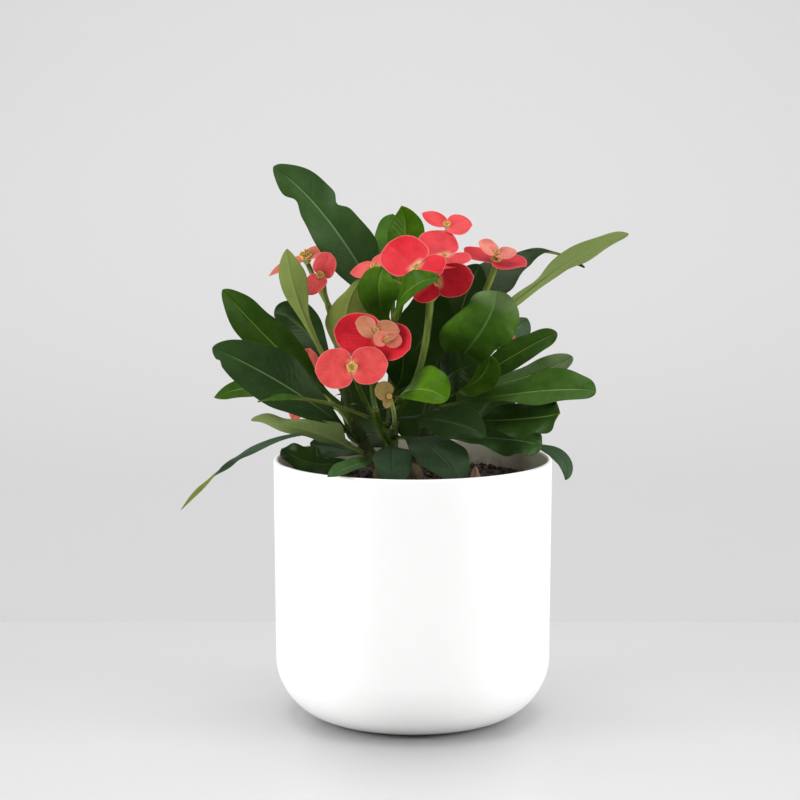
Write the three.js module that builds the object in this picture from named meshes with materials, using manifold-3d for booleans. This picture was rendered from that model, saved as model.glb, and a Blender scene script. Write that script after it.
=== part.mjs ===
// Crown of thorns (Euphorbia milii hybrid) in a plain white rounded pot.
// Millimetres, +Z up. The origin is the middle of the pot's underside.
import * as THREE from 'three';
import { mergeVertices } from 'three/addons/utils/BufferGeometryUtils.js';
import Module from 'manifold-3d';

// ---- driving dimensions ----
const POT_RADIUS = 76; // outside, at the rim
const POT_HEIGHT = 142;
const POT_WALL = 2.6;
const POT_FLARE = 0.7; // the side leans in by this much from rim to corner
const POT_FLOOR = 5;
const CORNER_WIDTH = 28.6; // rounded bottom corner
const CORNER_HEIGHT = 31.1;
const CORNER_POWER = 1.83; // 2 would be an ellipse
const CORNER_STEPS = 6;
const POT_SEGMENTS = 40;
const LIP_DROP = 0.9; // the rim is rounded over this height
const LIP_IN = 0.8; // and this far in from either face
const LIP_CROWN = 0.1; // its middle stands this much higher than its edges
const SOIL_TOP = 130;
const SOIL_DOME = 1.5; // the soil is this much lower at the wall
const SOIL_LEVEL = 0.75; // share of the radius that is level
const SEAT_GAP = 0.3; // left between pieces that touch
const TUBE_SIDES = 8;
const TUBE_STEPS = 6;
const BRANCH_FOOT = 3.8; // radius
const BRANCH_TOP = 2.6;
const CROWN_RADIUS = 11; // woody foot where the branches part
const CROWN_STRETCH = 1.2; // it is longer from side to side
const CROWN_SHOULDER = 0.7; // radius of its top, as a share
const CROWN_PLACE = [-8, 4, 0];
const CROWN_TOP = 139;
const CROWN_SEGMENTS = 12;
const LEAF_THICKNESS = 1.1;
const FOOT_WIDTH = 2.6; // of the leaf's short foot
const FOOT_THICKNESS = 1.7;
const FOOT_SHARE = 0.3; // of the leaf's length, where it thins to the blade
const LEAF_SWELL = 0.85; // under 1 makes the blade widen early
const LEAF_FOLD = 0.12; // rise of the blade's edges, as a share of its half width
const BRACT_THICKNESS = 1;
const BRACT_POINTS = 10;
const BRACT_OVERLAP = 0.94; // under 1 makes the two bracts overlap at the throat
const BRACT_POINT = 1.06; // the small point at the far end
const BRACT_DISH = 0.06; // rise of the rim, as a share of the length
const YOUNG_BRACT = 20; // young bracts' length and width at size 1
const YOUNG_RISE = 0.5;
const YOUNG_CUP = 0.6;
const NECK_RADIUS = 1.3;
const CUP_RADIUS = 2.4; // cream cup between the two bracts
const CUP_FOOT_RADIUS = 1.7;
const CUP_RISE = 1.6;
const CUP_DEPTH = 4;

const wasm = await Module();
wasm.setup();
const { Manifold, Mesh: SolidMesh } = wasm;

const vec = (list) => new THREE.Vector3(...list);
const smooth = (x) => x * x * (3 - 2 * x);
const mix = (a, b, t) => a + (b - a) * t;

// ---- closed solids ----

// A solid through rings of equal count; each end closes on one point.
function loft(rings, first, last) {
  const count = rings[0].length;
  const points = rings.flat();
  const firstIndex = points.push(first) - 1;
  const lastIndex = points.push(last) - 1;
  const index = [];
  for (let r = 0; r + 1 < rings.length; r += 1) {
    for (let k = 0; k < count; k += 1) {
      const a = r * count + k;
      const b = r * count + ((k + 1) % count);
      index.push(a, b, b + count, a, b + count, a + count);
    }
  }
  const top = (rings.length - 1) * count;
  for (let k = 0; k < count; k += 1) {
    const next = (k + 1) % count;
    index.push(firstIndex, next, k);
    index.push(lastIndex, top + k, top + next);
  }
  const geometry = new THREE.BufferGeometry();
  const flat = points.flatMap((p) => [p.x, p.y, p.z]);
  geometry.setAttribute('position', new THREE.Float32BufferAttribute(flat, 3));
  geometry.setIndex(index);
  return geometry;
}

function middle(ring) {
  const sum = new THREE.Vector3();
  for (const point of ring) sum.add(point);
  return sum.divideScalar(ring.length);
}

function toManifold(geometry) {
  const bare = geometry.clone();
  bare.deleteAttribute('normal');
  bare.deleteAttribute('uv');
  const merged = mergeVertices(bare, 1e-5);
  return new Manifold(new SolidMesh({
    numProp: 3,
    vertProperties: new Float32Array(merged.attributes.position.array),
    triVerts: new Uint32Array(merged.index.array),
  }));
}

function fromManifold(solid) {
  const mesh = solid.getMesh();
  const geometry = new THREE.BufferGeometry();
  const points = new THREE.BufferAttribute(new Float32Array(mesh.vertProperties), 3);
  geometry.setAttribute('position', points);
  geometry.setIndex(new THREE.BufferAttribute(new Uint32Array(mesh.triVerts), 1));
  return geometry;
}

function join(list) {
  return fromManifold(Manifold.union(list.map(toManifold)));
}

// ---- curves ----

// A curve from base to end over the point halfway along it.
function arcOver(base, half, end) {
  const control = half.clone().multiplyScalar(2);
  control.addScaledVector(base, -0.5).addScaledVector(end, -0.5);
  return new THREE.QuadraticBezierCurve3(base.clone(), control, end.clone());
}

// Round tube along a curve; its radius goes from one value to the other.
function tube(curve, from, to, steps = TUBE_STEPS) {
  const rings = [];
  const side = new THREE.Vector3(1, 0, 0);
  for (let i = 0; i <= steps; i += 1) {
    const t = i / steps;
    const along = curve.getTangent(t);
    side.addScaledVector(along, -side.dot(along)).normalize();
    const other = along.clone().cross(side);
    const radius = mix(from, to, t);
    const ring = [];
    for (let k = 0; k < TUBE_SIDES; k += 1) {
      const angle = (2 * Math.PI * k) / TUBE_SIDES;
      const point = curve.getPoint(t).addScaledVector(side, radius * Math.cos(angle));
      ring.push(point.addScaledVector(other, radius * Math.sin(angle)));
    }
    rings.push(ring);
  }
  return loft(rings, curve.getPoint(0), curve.getPoint(1));
}

// How far to start a foot from a branch: outside it, on the side toward a point.
function outOfBranch(branch, at, toward) {
  const centre = branch.curve.getPoint(at);
  const axis = branch.curve.getTangent(at);
  const out = toward.clone().sub(centre);
  out.addScaledVector(axis, -out.dot(axis)).normalize();
  const start = centre.addScaledVector(out, mix(BRANCH_FOOT, BRANCH_TOP, at) + SEAT_GAP);
  return { start, out, axis };
}

// ---- pot ----
function potOutside() {
  const side = POT_RADIUS - POT_FLARE;
  const points = [[0, 0]];
  for (let i = 0; i <= CORNER_STEPS; i += 1) {
    const t = (i / CORNER_STEPS) * (Math.PI / 2);
    const out = CORNER_WIDTH * Math.sin(t) ** (2 / CORNER_POWER);
    const up = CORNER_HEIGHT * (1 - Math.cos(t) ** (2 / CORNER_POWER));
    points.push([side - CORNER_WIDTH + out, up]);
  }
  points.push([mix(side, POT_RADIUS, 0.5), mix(CORNER_HEIGHT, POT_HEIGHT, 0.5)]);
  points.push([POT_RADIUS, POT_HEIGHT - LIP_DROP]);
  points.push([POT_RADIUS - LIP_IN, POT_HEIGHT - LIP_CROWN]);
  points.push([POT_RADIUS - POT_WALL / 2, POT_HEIGHT]);
  return points;
}

function makePot() {
  const side = POT_RADIUS - POT_FLARE - POT_WALL;
  const corner = CORNER_WIDTH - POT_WALL;
  const points = potOutside();
  points.push([POT_RADIUS - POT_WALL + LIP_IN, POT_HEIGHT - LIP_CROWN]);
  points.push([POT_RADIUS - POT_WALL, POT_HEIGHT - LIP_DROP]);
  for (let i = CORNER_STEPS / 2; i >= 0; i -= 1) {
    const t = (i / (CORNER_STEPS / 2)) * (Math.PI / 2);
    const up = (CORNER_HEIGHT - POT_FLOOR) * (1 - Math.cos(t));
    points.push([side - corner + corner * Math.sin(t), POT_FLOOR + up]);
  }
  points.push([0, POT_FLOOR]);
  return lathe(points, POT_SEGMENTS);
}

function lathe(points, segments) {
  const profile = points.map(([r, z]) => new THREE.Vector2(r, z));
  const geometry = new THREE.LatheGeometry(profile, segments);
  return geometry.rotateX(Math.PI / 2);
}

// Soil fills the pot up to its slightly domed top.
function makeSoil() {
  const radius = POT_RADIUS - POT_FLARE - POT_WALL - SEAT_GAP;
  const corner = CORNER_WIDTH - POT_WALL;
  const floor = POT_FLOOR + SEAT_GAP;
  const points = [[0, floor]];
  for (let i = 0; i <= CORNER_STEPS / 2; i += 1) {
    const t = (i / (CORNER_STEPS / 2)) * (Math.PI / 2);
    const up = (CORNER_HEIGHT - POT_FLOOR) * (1 - Math.cos(t));
    points.push([radius - corner + corner * Math.sin(t), floor + up]);
  }
  points.push([radius, SOIL_TOP - SOIL_DOME]);
  points.push([radius * SOIL_LEVEL, SOIL_TOP]);
  points.push([0, SOIL_TOP]);
  return lathe(points, POT_SEGMENTS);
}

// ---- stem: three branches from one woody crown ----
const BRANCHES = {
  left: branch([-17, 6, 134], [-31, 4, 158], [-37, -3, 184]),
  centre: branch([-12, 0, 134], [-11, 4, 174], [-10, 8, 213]),
  right: branch([0, 8, 134], [13, 12, 172], [26, 12, 207]),
};

function branch(base, half, end) {
  return { curve: arcOver(vec(base), vec(half), vec(end)) };
}

function makeStem() {
  const foot = SOIL_TOP + SEAT_GAP;
  const crown = lathe([
    [0, foot],
    [CROWN_RADIUS, foot],
    [CROWN_RADIUS, mix(SOIL_TOP, CROWN_TOP, 0.5)],
    [CROWN_RADIUS * CROWN_SHOULDER, CROWN_TOP],
    [0, CROWN_TOP],
  ], CROWN_SEGMENTS);
  crown.scale(CROWN_STRETCH, 1, 1).translate(...CROWN_PLACE);
  const limbs = Object.values(BRANCHES).map(({ curve }) => tube(curve, BRANCH_FOOT, BRANCH_TOP));
  return join([crown, ...limbs]);
}

// ---- leaves ----
// Each leaf: the branch it sits on and how far up (0 to 1), the midrib's middle
// and tip, the width of the blade, and the way its upper side looks. More:
// tipFace is that way at the tip, blade is where the blade starts, widest where
// it is widest, end the form of its tip (0.5 round, 1 pointed), fold how much
// the two halves stand up, and turn moves the foot round the branch (degrees).
function leaf(number, on, at, mid, tip, width, face, more = {}) {
  return { name: `leaf_${number}`, on, at, mid, tip, width, face, ...more };
}

const LEAVES = [
  leaf('01', 'centre', 1, [-43, 6, 267], [-75, -2, 300], 27, [0.5, -1, 0.3], { widest: 0.42, end: 0.55 }),
  leaf('02', 'centre', 0.96, [-12, 34, 253], [-11, 44, 272], 20, [-0.2, -1, 0.4]),
  leaf('03', 'centre', 0.9, [-4, 26, 252], [-4, 24, 277], 21, [0.1, -1, 0.1], { end: 0.9 }),
  leaf('04', 'left', 0.72, [-71.5, -6, 201], [-102, -14, 235], 26, [0.2, -1, 0.8]),
  leaf('05', 'left', 0.84, [-60, 34, 208.5], [-78, 50, 215], 25, [0.1, -0.9, 1]),
  leaf('06', 'left', 0.88, [-60, -14, 226], [-67, -16, 257], 16, [0.3, 1, 0.2],
    { blade: 0.2, widest: 0.68, end: 0.9 }),
  leaf('07', 'left', 0.95, [-36, -14, 221], [-25.4, -18, 242], 26, [0.35, 0.9, 0.2],
    { widest: 0.4, end: 1.3 }),
  leaf('08', 'centre', 0.92, [-18, -22, 231], [-16, -28, 248], 22, [0, -1, 0.5]),
  leaf('09', 'centre', 0.97, [-5, -42, 234], [13.5, -57, 245.5], 18, [-0.5, -1, 0.7]),
  leaf('10', 'left', 0.36, [-63, -24, 181], [-106, -34, 206], 31, [0.2, -1, 0.6], { end: 0.6 }),
  leaf('11', 'left', 0.62, [-74, 38, 175.5], [-113, 56, 168], 16, [0, -0.3, 1], { end: 0.9 }),
  leaf('12', 'centre', 0.31, [-50, -38, 178], [-81, -56, 180], 13, [0, 0.1, 1], { end: 1 }),
  leaf('13', 'left', 0.24, [-61, -13, 159.5], [-87, -20, 165.5], 15, [0.1, 0.8, 0.8],
    { widest: 0.42, end: 1.1 }),
  leaf('14', 'left', 0.46, [-86.7, 34, 142.5], [-132, 50, 104], 8, [0.2, -0.4, 1], { end: 1, widest: 0.5 }),
  leaf('15', 'left', 0.18, [-50, -24, 142], [-70, -14, 149], 18, [0, -0.9, 0.8]),
  leaf('16', 'left', 0.2, [-40, 16, 146], [-60, 20, 150], 18, [0, -0.8, 1]),
  leaf('17', 'centre', 0.12, [-29, -50, 146], [-44, -76, 144], 10, [0.4, -0.3, 1]),
  leaf('18', 'centre', 0.16, [-11, -40, 150], [-10, -58, 135], 21, [0, -0.8, 1], { end: 0.5 }),
  leaf('19', 'centre', 0.24, [9, -39, 153], [25, -62, 137], 28, [0.2, -0.8, 1]),
  leaf('20', 'centre', 0.36, [18, -32, 166], [38, -48, 160], 22, [-0.2, -1, 0.7], { end: 0.9 }),
  leaf('21', 'centre', 0.46, [1, -44, 184.8], [18, -59, 182], 26, [-0.1, -1, 0.6], { end: 0.5 }),
  leaf('22', 'right', 0.62, [21.5, -16, 189], [34, -24, 195], 17, [0, -1, 0.3],
    { blade: 0.05, widest: 0.5 }),
  leaf('23', 'right', 0.58, [39, 3, 182], [46, -2, 197], 19, [-0.3, -1, 0.3], { end: 0.6 }),
  leaf('24', 'right', 0.74, [37, -18, 214], [44.5, -24, 235], 36, [-0.2, -0.3, -1],
    { tipFace: [-0.2, -1, 0.3], blade: 0.1, widest: 0.58, end: 0.5 }),
  leaf('25', 'right', 0.82, [50, 55, 200], [66, 72, 210], 20, [0.2, -0.8, 1]),
  leaf('26', 'right', 0.5, [54, 10, 196], [79, 12, 209.5], 17, [-0.4, -1, 0.9]),
  leaf('27', 'right', 0.56, [61, 34, 181.5], [90, 42, 193], 18, [0.1, 0.9, 1]),
  leaf('28', 'right', 0.46, [62, -22, 181], [97, -32, 184], 24, [0.1, -0.9, 1], { end: 0.5 }),
  leaf('29', 'right', 0.34, [57, -26, 165], [77, -42, 171], 29, [0, -1, 0.9]),
  leaf('30', 'right', 0.24, [48, -20, 155], [69, -24, 152], 19, [0.1, -1, 0.7]),
  leaf('31', 'right', 0.3, [73, 28, 143.8], [85.5, 24, 125.5], 10, [0.3, -0.3, 1],
    { tipFace: [0.8, -0.7, 0.3], end: 0.9 }),
  leaf('32', 'right', 0.88, [76, 6, 243], [116, -4, 265], 14, [-0.2, 0.9, 0.6], { blade: 0.35 }),
  leaf('33', 'right', 1, [63, 46, 243], [99, 72, 241.5], 28, [-0.2, -1, 0.9],
    { blade: 0.14, widest: 0.42, end: 1.3 }),
  leaf('34', 'right', 0.84, [28, 25, 224], [37, 26, 246], 22, [0, -1, 0.5], { turn: 20 }),
  leaf('35', 'centre', 0.7, [7, 12, 210], [8, 17, 236], 33, [0, -1, 0.3], { widest: 0.45 }),
  leaf('36', 'right', 0.12, [6, 30, 162], [17, 48, 198], 35, [0.1, -1, 0.3],
    { blade: 0.03, widest: 0.4 }),
  leaf('37', 'right', 0.28, [38, 40, 158], [51, 62, 184], 31, [0, -1, 0.5]),
  leaf('38', 'centre', 0.16, [-22, 25, 159], [-36, 44, 188], 33, [-0.1, -1, 0.3],
    { blade: 0.03, widest: 0.42 }),
  leaf('39', 'centre', 0.56, [-6, -8, 190], [-6, -15, 209], 19, [0.1, -1, 0.2], { blade: 0.05 }),
];

// Shares of the leaf's length at which its outline is set out.
const LEAF_STATIONS = [0, 0.07, 0.15, 0.25, 0.35, 0.45, 0.55, 0.65, 0.75, 0.84, 0.92, 0.97];

function leafHalfWidth({ width, blade = 0.12, widest = 0.62, end = 0.7 }, u) {
  const foot = FOOT_WIDTH / 2;
  if (u <= blade) return foot;
  if (u >= widest) {
    const q = (u - widest) / (1 - widest);
    return (width / 2) * (1 - q * q) ** end;
  }
  const grown = smooth((u - blade) / (widest - blade)) ** LEAF_SWELL;
  return mix(foot, width / 2, grown);
}

// The two directions across the midrib at u: up from the blade, and sideways.
function leafFrame({ face, tipFace = face }, curve, u) {
  const along = curve.getTangent(u);
  const up = vec(face).normalize().lerp(vec(tipFace).normalize(), u);
  up.addScaledVector(along, -up.dot(along)).normalize();
  return { up, side: along.cross(up) };
}

// The foot starts just outside the branch, on the side that the leaf leans to.
function leafCurve(row) {
  const { start, out, axis } = outOfBranch(BRANCHES[row.on], row.at, vec(row.mid));
  const turn = THREE.MathUtils.degToRad(row.turn ?? 0);
  const reached = out.clone().applyAxisAngle(axis, turn);
  start.addScaledVector(reached.clone().sub(out), mix(BRANCH_FOOT, BRANCH_TOP, row.at) + SEAT_GAP);
  const trial = arcOver(start, vec(row.mid), vec(row.tip));
  const { up, side } = leafFrame(row, trial, 0);
  const thick = Math.abs(up.dot(reached)) * FOOT_THICKNESS;
  const wide = Math.abs(side.dot(reached)) * FOOT_WIDTH;
  start.addScaledVector(reached, Math.max(thick, wide) / 2);
  return arcOver(start, vec(row.mid), vec(row.tip));
}

function makeLeaf(row) {
  const curve = leafCurve(row);
  const fold = row.fold ?? LEAF_FOLD;
  const rings = LEAF_STATIONS.map((u) => {
    const { up, side } = leafFrame(row, curve, u);
    const at = curve.getPoint(u);
    const half = leafHalfWidth(row, u);
    const thick = mix(FOOT_THICKNESS, LEAF_THICKNESS, Math.min(1, u / FOOT_SHARE)) / 2;
    const lift = fold * (half - FOOT_WIDTH / 2);
    return [
      at.clone().addScaledVector(side, half).addScaledVector(up, lift),
      at.clone().addScaledVector(up, -thick),
      at.clone().addScaledVector(side, -half).addScaledVector(up, lift),
      at.clone().addScaledVector(up, thick),
    ];
  });
  return loft(rings, middle(rings[0]), curve.getPoint(1));
}

// ---- flowers ----
// at: the throat. look: the way the flower faces. bracts: each with the way it
// spreads (away), its length and width, and how steeply it rises toward look.
const FLOWERS = [
  { name: 'flower_01', at: [-32, -48, 197], look: [0, -1, 0.2], bracts: [
    { away: [-1, 0, -0.1], length: 19.5, width: 21, rise: 0.1 },
    { away: [1, 0, 0.1], length: 19, width: 19.5, rise: 0.15 }] },
  { name: 'flower_02', at: [-18, -40, 212], look: [0, -1, 0.35], bracts: [
    { away: [-1, 0, 0.1], length: 24, width: 23, rise: 0.15 },
    { away: [1, 0, 0], length: 17, width: 23, rise: 0.35 }],
  young: [{ at: [-5, 6, 6], size: 0.42 }, { at: [4, 0, 7], size: 0.38 }] },
  { name: 'flower_03', at: [2, -32, 248], look: [-0.2, -0.8, 0.8], bracts: [
    { away: [-0.6, 0, 0.8], length: 23, width: 26, rise: 0.1 },
    { away: [0.9, -0.5, -0.1], length: 18, width: 20, rise: 0.35 }] },
  { name: 'flower_04', at: [16.5, -21, 254.5], look: [0, -0.6, 1], bracts: [
    { away: [-0.4, 1, 0.3], length: 20, width: 21, rise: 0.2 },
    { away: [0.35, -1, -0.1], length: 13, width: 23, rise: 0.1 }] },
  { name: 'flower_05', at: [18, -4, 269], look: [0, -0.7, 1], bracts: [
    { away: [-0.9, 0, 0.5], length: 14, width: 11, rise: 0.3 },
    { away: [1, 0, -0.2], length: 14, width: 15, rise: 0 }] },
  { name: 'flower_06', at: [45, 6, 249], look: [0.1, -0.4, 1], bracts: [
    { away: [-0.9, 0.4, 0], length: 19, width: 18, rise: 0.08 },
    { away: [0.9, -0.5, 0], length: 18, width: 20, rise: 0.1 }],
  young: [{ at: [-2, 1, 5], size: 0.8 }] },
  { name: 'flower_07', at: [13, -27, 240], look: [-0.3, -1, 0.1], bracts: [
    { away: [1, 0, 0.1], length: 22, width: 18, rise: 0.3 },
    { away: [-0.8, 0, -0.7], length: 14, width: 13, rise: 0.6 }] },
  { name: 'flower_08', at: [-49.5, -6, 242], look: [0, -1, 0.15], bracts: [
    { away: [-0.35, 0, -1], length: 13, width: 13, rise: 0.35 },
    { away: [0.3, 0, 1], length: 12, width: 16, rise: 0.2 }] },
  { name: 'flower_09', at: [-58, 10, 251], look: [-0.1, -0.6, 1], bracts: [
    { away: [-0.9, 0, -0.45], length: 22, width: 9, rise: -0.35 },
    { away: [0.7, 0, 0.4], length: 12, width: 12, rise: 0.5 }] },
  { name: 'flower_10', at: [-20, -13, 246.5], look: [-0.1, -0.5, 1], bracts: [
    { away: [-0.9, 0, -0.2], length: 14, width: 15, rise: -0.15 },
    { away: [0.9, 0.5, 0.2], length: 14, width: 15, rise: 0.2 }] },
  { name: 'flower_11', at: [-12.5, -46, 181.5], look: [0, -1, 0.3], bracts: [
    { away: [-0.6, 0, 0.6], length: 9, width: 10, rise: 0.3 },
    { away: [-0.3, 0, -1], length: 7, width: 5, rise: 0.3 }] },
  { name: 'flower_12', at: [48, 26, 204], look: [0.1, 0.6, 1], bracts: [
    { away: [-0.9, 0, 0], length: 9, width: 10, rise: 0.2 },
    { away: [0.9, 0, 0], length: 9, width: 10, rise: 0.2 }] },
  { name: 'flower_13', at: [-59, 8, 183], look: [-0.3, -1, 0], bracts: [
    { away: [0.2, 0, 1], length: 19, width: 16, rise: 0.1 },
    { away: [-0.35, 0, -1], length: 22, width: 11, rise: 0.1 }] },
];

// One bract: a round blade, its narrow end at the throat.
function makeBract(centre, look, away, { length, width, rise }) {
  const side = look.clone().cross(away);
  const place = (x, y, z) => {
    const point = centre.clone().addScaledVector(away, x);
    return point.addScaledVector(side, y).addScaledVector(look, z + rise * x);
  };
  const radius = length / 2;
  const middleX = radius * BRACT_OVERLAP;
  const rim = [];
  for (let k = 0; k < BRACT_POINTS; k += 1) {
    const angle = (2 * Math.PI * k) / BRACT_POINTS;
    const reach = k === 0 ? radius * BRACT_POINT : radius;
    const x = middleX + reach * Math.cos(angle);
    rim.push(place(x, (width / 2) * Math.sin(angle), BRACT_DISH * length));
  }
  const half = BRACT_THICKNESS / 2;
  return loft([rim], place(middleX, 0, -half), place(middleX, 0, half));
}

function makeCup(centre, look, scale) {
  const low = centre.clone().addScaledVector(look, -CUP_DEPTH * scale);
  const high = centre.clone().addScaledVector(look, CUP_RISE * scale);
  const curve = arcOver(low, low.clone().lerp(high, 0.5), high);
  return tube(curve, CUP_FOOT_RADIUS * scale, CUP_RADIUS * scale, 2);
}

function flowerAxes(flower) {
  const look = vec(flower.look).normalize();
  const spread = vec(flower.bracts[0].away);
  spread.addScaledVector(look, -spread.dot(look)).normalize();
  return { look, spread, side: look.clone().cross(spread) };
}

// A young flower on a short neck out of an older flower's throat.
function youngSolids(flower, { at, size }) {
  const { look, spread, side } = flowerAxes(flower);
  const throat = vec(flower.at);
  const place = throat.clone().addScaledVector(spread, -at[0]).addScaledVector(side, at[1]);
  place.addScaledVector(look, at[2]);
  const neck = tube(arcOver(throat, throat.clone().lerp(place, 0.5), place), NECK_RADIUS, NECK_RADIUS, 1);
  const solids = [neck, makeCup(place, look, YOUNG_CUP)];
  const bract = { length: YOUNG_BRACT * size, width: YOUNG_BRACT * size, rise: YOUNG_RISE };
  for (const sign of [1, -1]) {
    solids.push(makeBract(place, look, spread.clone().multiplyScalar(sign), bract));
  }
  return solids;
}

function flowerSolids(flower) {
  const centre = vec(flower.at);
  const { look } = flowerAxes(flower);
  const solids = [makeCup(centre, look, 1)];
  for (const bract of flower.bracts) {
    const away = vec(bract.away);
    away.addScaledVector(look, -away.dot(look)).normalize();
    solids.push(makeBract(centre, look, away, bract));
  }
  return solids.concat(...(flower.young ?? []).map((bud) => youngSolids(flower, bud)));
}

// ---- flower stalks ----
// Runs: each starts on a branch or at a fork, passes a halfway point, and goes
// to a fork or up to a flower.
const FORK_FRONT = [-20, -26, 172];
const FORK_TOP = [9, -18, 229];
const FORK_LEFT = [-46, 0, 226];
const STALKS = [
  { name: 'stalk_front', runs: [
    { on: 'centre', at: 0.2, half: [-17, -14, 160], end: FORK_FRONT, foot: 2, top: 2 },
    { from: FORK_FRONT, half: [-22, -27, 192], to: 'flower_02', foot: 1.8, top: 1.8 },
    { from: [-17, -14, 160], half: [-27, -18, 178], to: 'flower_01', foot: 1.3, top: 1.5 }] },
  { name: 'stalk_top', runs: [
    { on: 'centre', at: 0.4, half: [3, -15, 191], end: FORK_TOP, foot: 2.2, top: 2.6 },
    { from: FORK_TOP, half: [4, -19, 238], to: 'flower_03', foot: 2, top: 1.5 },
    { from: FORK_TOP, half: [15, -15, 240], to: 'flower_04', foot: 2, top: 1.5 },
    { from: FORK_TOP, half: [13, -5, 245], to: 'flower_05', foot: 2, top: 1.5 },
    { from: FORK_TOP, half: [13, -18, 234], to: 'flower_07', foot: 2, top: 1.5 },
    { from: FORK_TOP, half: [-5, -9, 236], to: 'flower_10', foot: 2, top: 1.4 }] },
  { name: 'stalk_right', runs: [
    { on: 'right', at: 1, half: [38, 8, 229], to: 'flower_06', foot: 1.8, top: 2.2 }] },
  { name: 'stalk_left', runs: [
    { on: 'left', at: 0.98, half: [-42, 0, 208], end: FORK_LEFT, foot: 1.7, top: 1.8 },
    { from: FORK_LEFT, half: [-48, 1, 233], to: 'flower_08', foot: 1.5, top: 1.4 },
    { from: FORK_LEFT, half: [-52, 8, 236], to: 'flower_09', foot: 1.5, top: 1.4 }] },
];

// Stalks that belong to one flower only and are part of its node.
const OWN_STALKS = {
  flower_11: { on: 'centre', at: 0.3, half: [-10, -26, 168], foot: 1, top: 1.2 },
  flower_12: { on: 'right', at: 0.62, half: [42, 26, 190], foot: 1.2, top: 1.3 },
  flower_13: { on: 'left', at: 0.55, half: [-48, 4, 176], foot: 1.2, top: 1.3 },
};

// A stalk on a branch starts just outside it, clear of it by its slanted end.
function stalkStart(run, end) {
  if (run.from) return vec(run.from);
  const { start, out } = outOfBranch(BRANCHES[run.on], run.at, vec(run.half));
  const slant = arcOver(start, vec(run.half), end).getTangent(0).cross(out).length();
  return start.addScaledVector(out, slant * run.foot);
}

// Under a flower it stops just below the cup, clear of it in the same way.
function makeRun(run) {
  const half = vec(run.half);
  if (run.end) {
    const end = vec(run.end);
    return tube(arcOver(stalkStart(run, end), half, end), run.foot, run.top);
  }
  const flower = FLOWERS.find((entry) => entry.name === run.to);
  const { look } = flowerAxes(flower);
  const under = vec(flower.at).addScaledVector(look, -CUP_DEPTH - SEAT_GAP);
  const start = stalkStart(run, under);
  const slant = arcOver(start, half, under).getTangent(1).cross(look).length();
  under.addScaledVector(look, -slant * run.top);
  return tube(arcOver(start, half, under), run.foot, run.top);
}

function makeFlower(flower) {
  const solids = flowerSolids(flower);
  const own = OWN_STALKS[flower.name];
  if (own) {
    const throat = vec(flower.at);
    const curve = arcOver(stalkStart(own, throat), vec(own.half), throat);
    solids.push(tube(curve, own.foot, own.top));
  }
  return join(solids);
}

function makeStalk(stalk) {
  if (stalk.runs.length === 1) return makeRun(stalk.runs[0]);
  return join(stalk.runs.map(makeRun));
}

// ---- bark chip: stands in the soil ----
const CHIP_PLACE = [33, -35, SOIL_TOP + SEAT_GAP];
const CHIP_HALF_WIDTHS = [[0, 3.2], [5, 3.6], [11, 2.2]]; // height, half width
const CHIP_HALF_THICKNESS = 1.4;
const CHIP_PEAK = 12.5;
const CHIP_CORNERS = 6;

function makeChip() {
  const rings = CHIP_HALF_WIDTHS.map(([up, half]) => {
    const ring = [];
    for (let k = 0; k < CHIP_CORNERS; k += 1) {
      const angle = (2 * Math.PI * k) / CHIP_CORNERS;
      const thick = CHIP_HALF_THICKNESS * Math.sin(angle);
      ring.push(new THREE.Vector3(half * Math.cos(angle), thick, up));
    }
    return ring;
  });
  const peak = new THREE.Vector3(0, 0, CHIP_PEAK);
  return loft(rings, middle(rings[0]), peak).translate(...CHIP_PLACE);
}

// ---- materials ----
const FINISH = {
  pot: { color: '#f2f1ef', roughness: 0.55, metalness: 0 },
  soil: { color: '#2b211b', roughness: 0.95, metalness: 0 },
  chip: { color: '#a58a63', roughness: 0.85, metalness: 0 },
  stem: { color: '#6b5a44', roughness: 0.85, metalness: 0 },
  leaf: { color: '#2f5a2a', roughness: 0.45, metalness: 0 },
  stalk: { color: '#7f9c3c', roughness: 0.5, metalness: 0 },
  flower: { color: '#e0474e', roughness: 0.55, metalness: 0 },
};

function piece(name, geometry, finish) {
  geometry.computeVertexNormals();
  const mesh = new THREE.Mesh(geometry, new THREE.MeshStandardMaterial(FINISH[finish]));
  mesh.name = name;
  return mesh;
}

const model = new THREE.Group();
model.name = 'crown_of_thorns_plant';
model.add(piece('pot', makePot(), 'pot'));
model.add(piece('soil', makeSoil(), 'soil'));
model.add(piece('bark_chip', makeChip(), 'chip'));
model.add(piece('stem', makeStem(), 'stem'));
for (const leaf of LEAVES) model.add(piece(leaf.name, makeLeaf(leaf), 'leaf'));
for (const stalk of STALKS) model.add(piece(stalk.name, makeStalk(stalk), 'stalk'));
for (const flower of FLOWERS) model.add(piece(flower.name, makeFlower(flower), 'flower'));

export default model;
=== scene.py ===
# %% [markdown]
# # A crown of thorns plant in a white pot
# The object is a small flowering shrub in a plain white rounded pot. A packed
# solid model gives every piece its place and size. This script keeps those
# places and makes each piece look like the real thing: waxy leaves with a pale
# midrib, paired red bracts round a yellow centre, green flower stalks, a woody
# stem with thorns, crumbly soil and matt white ceramic.
#
# First the frame is loaded and its box is kept, so that the finished model can
# be compared with it at the end.

import math

import bpy
from mathutils import Matrix, Vector


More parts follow.
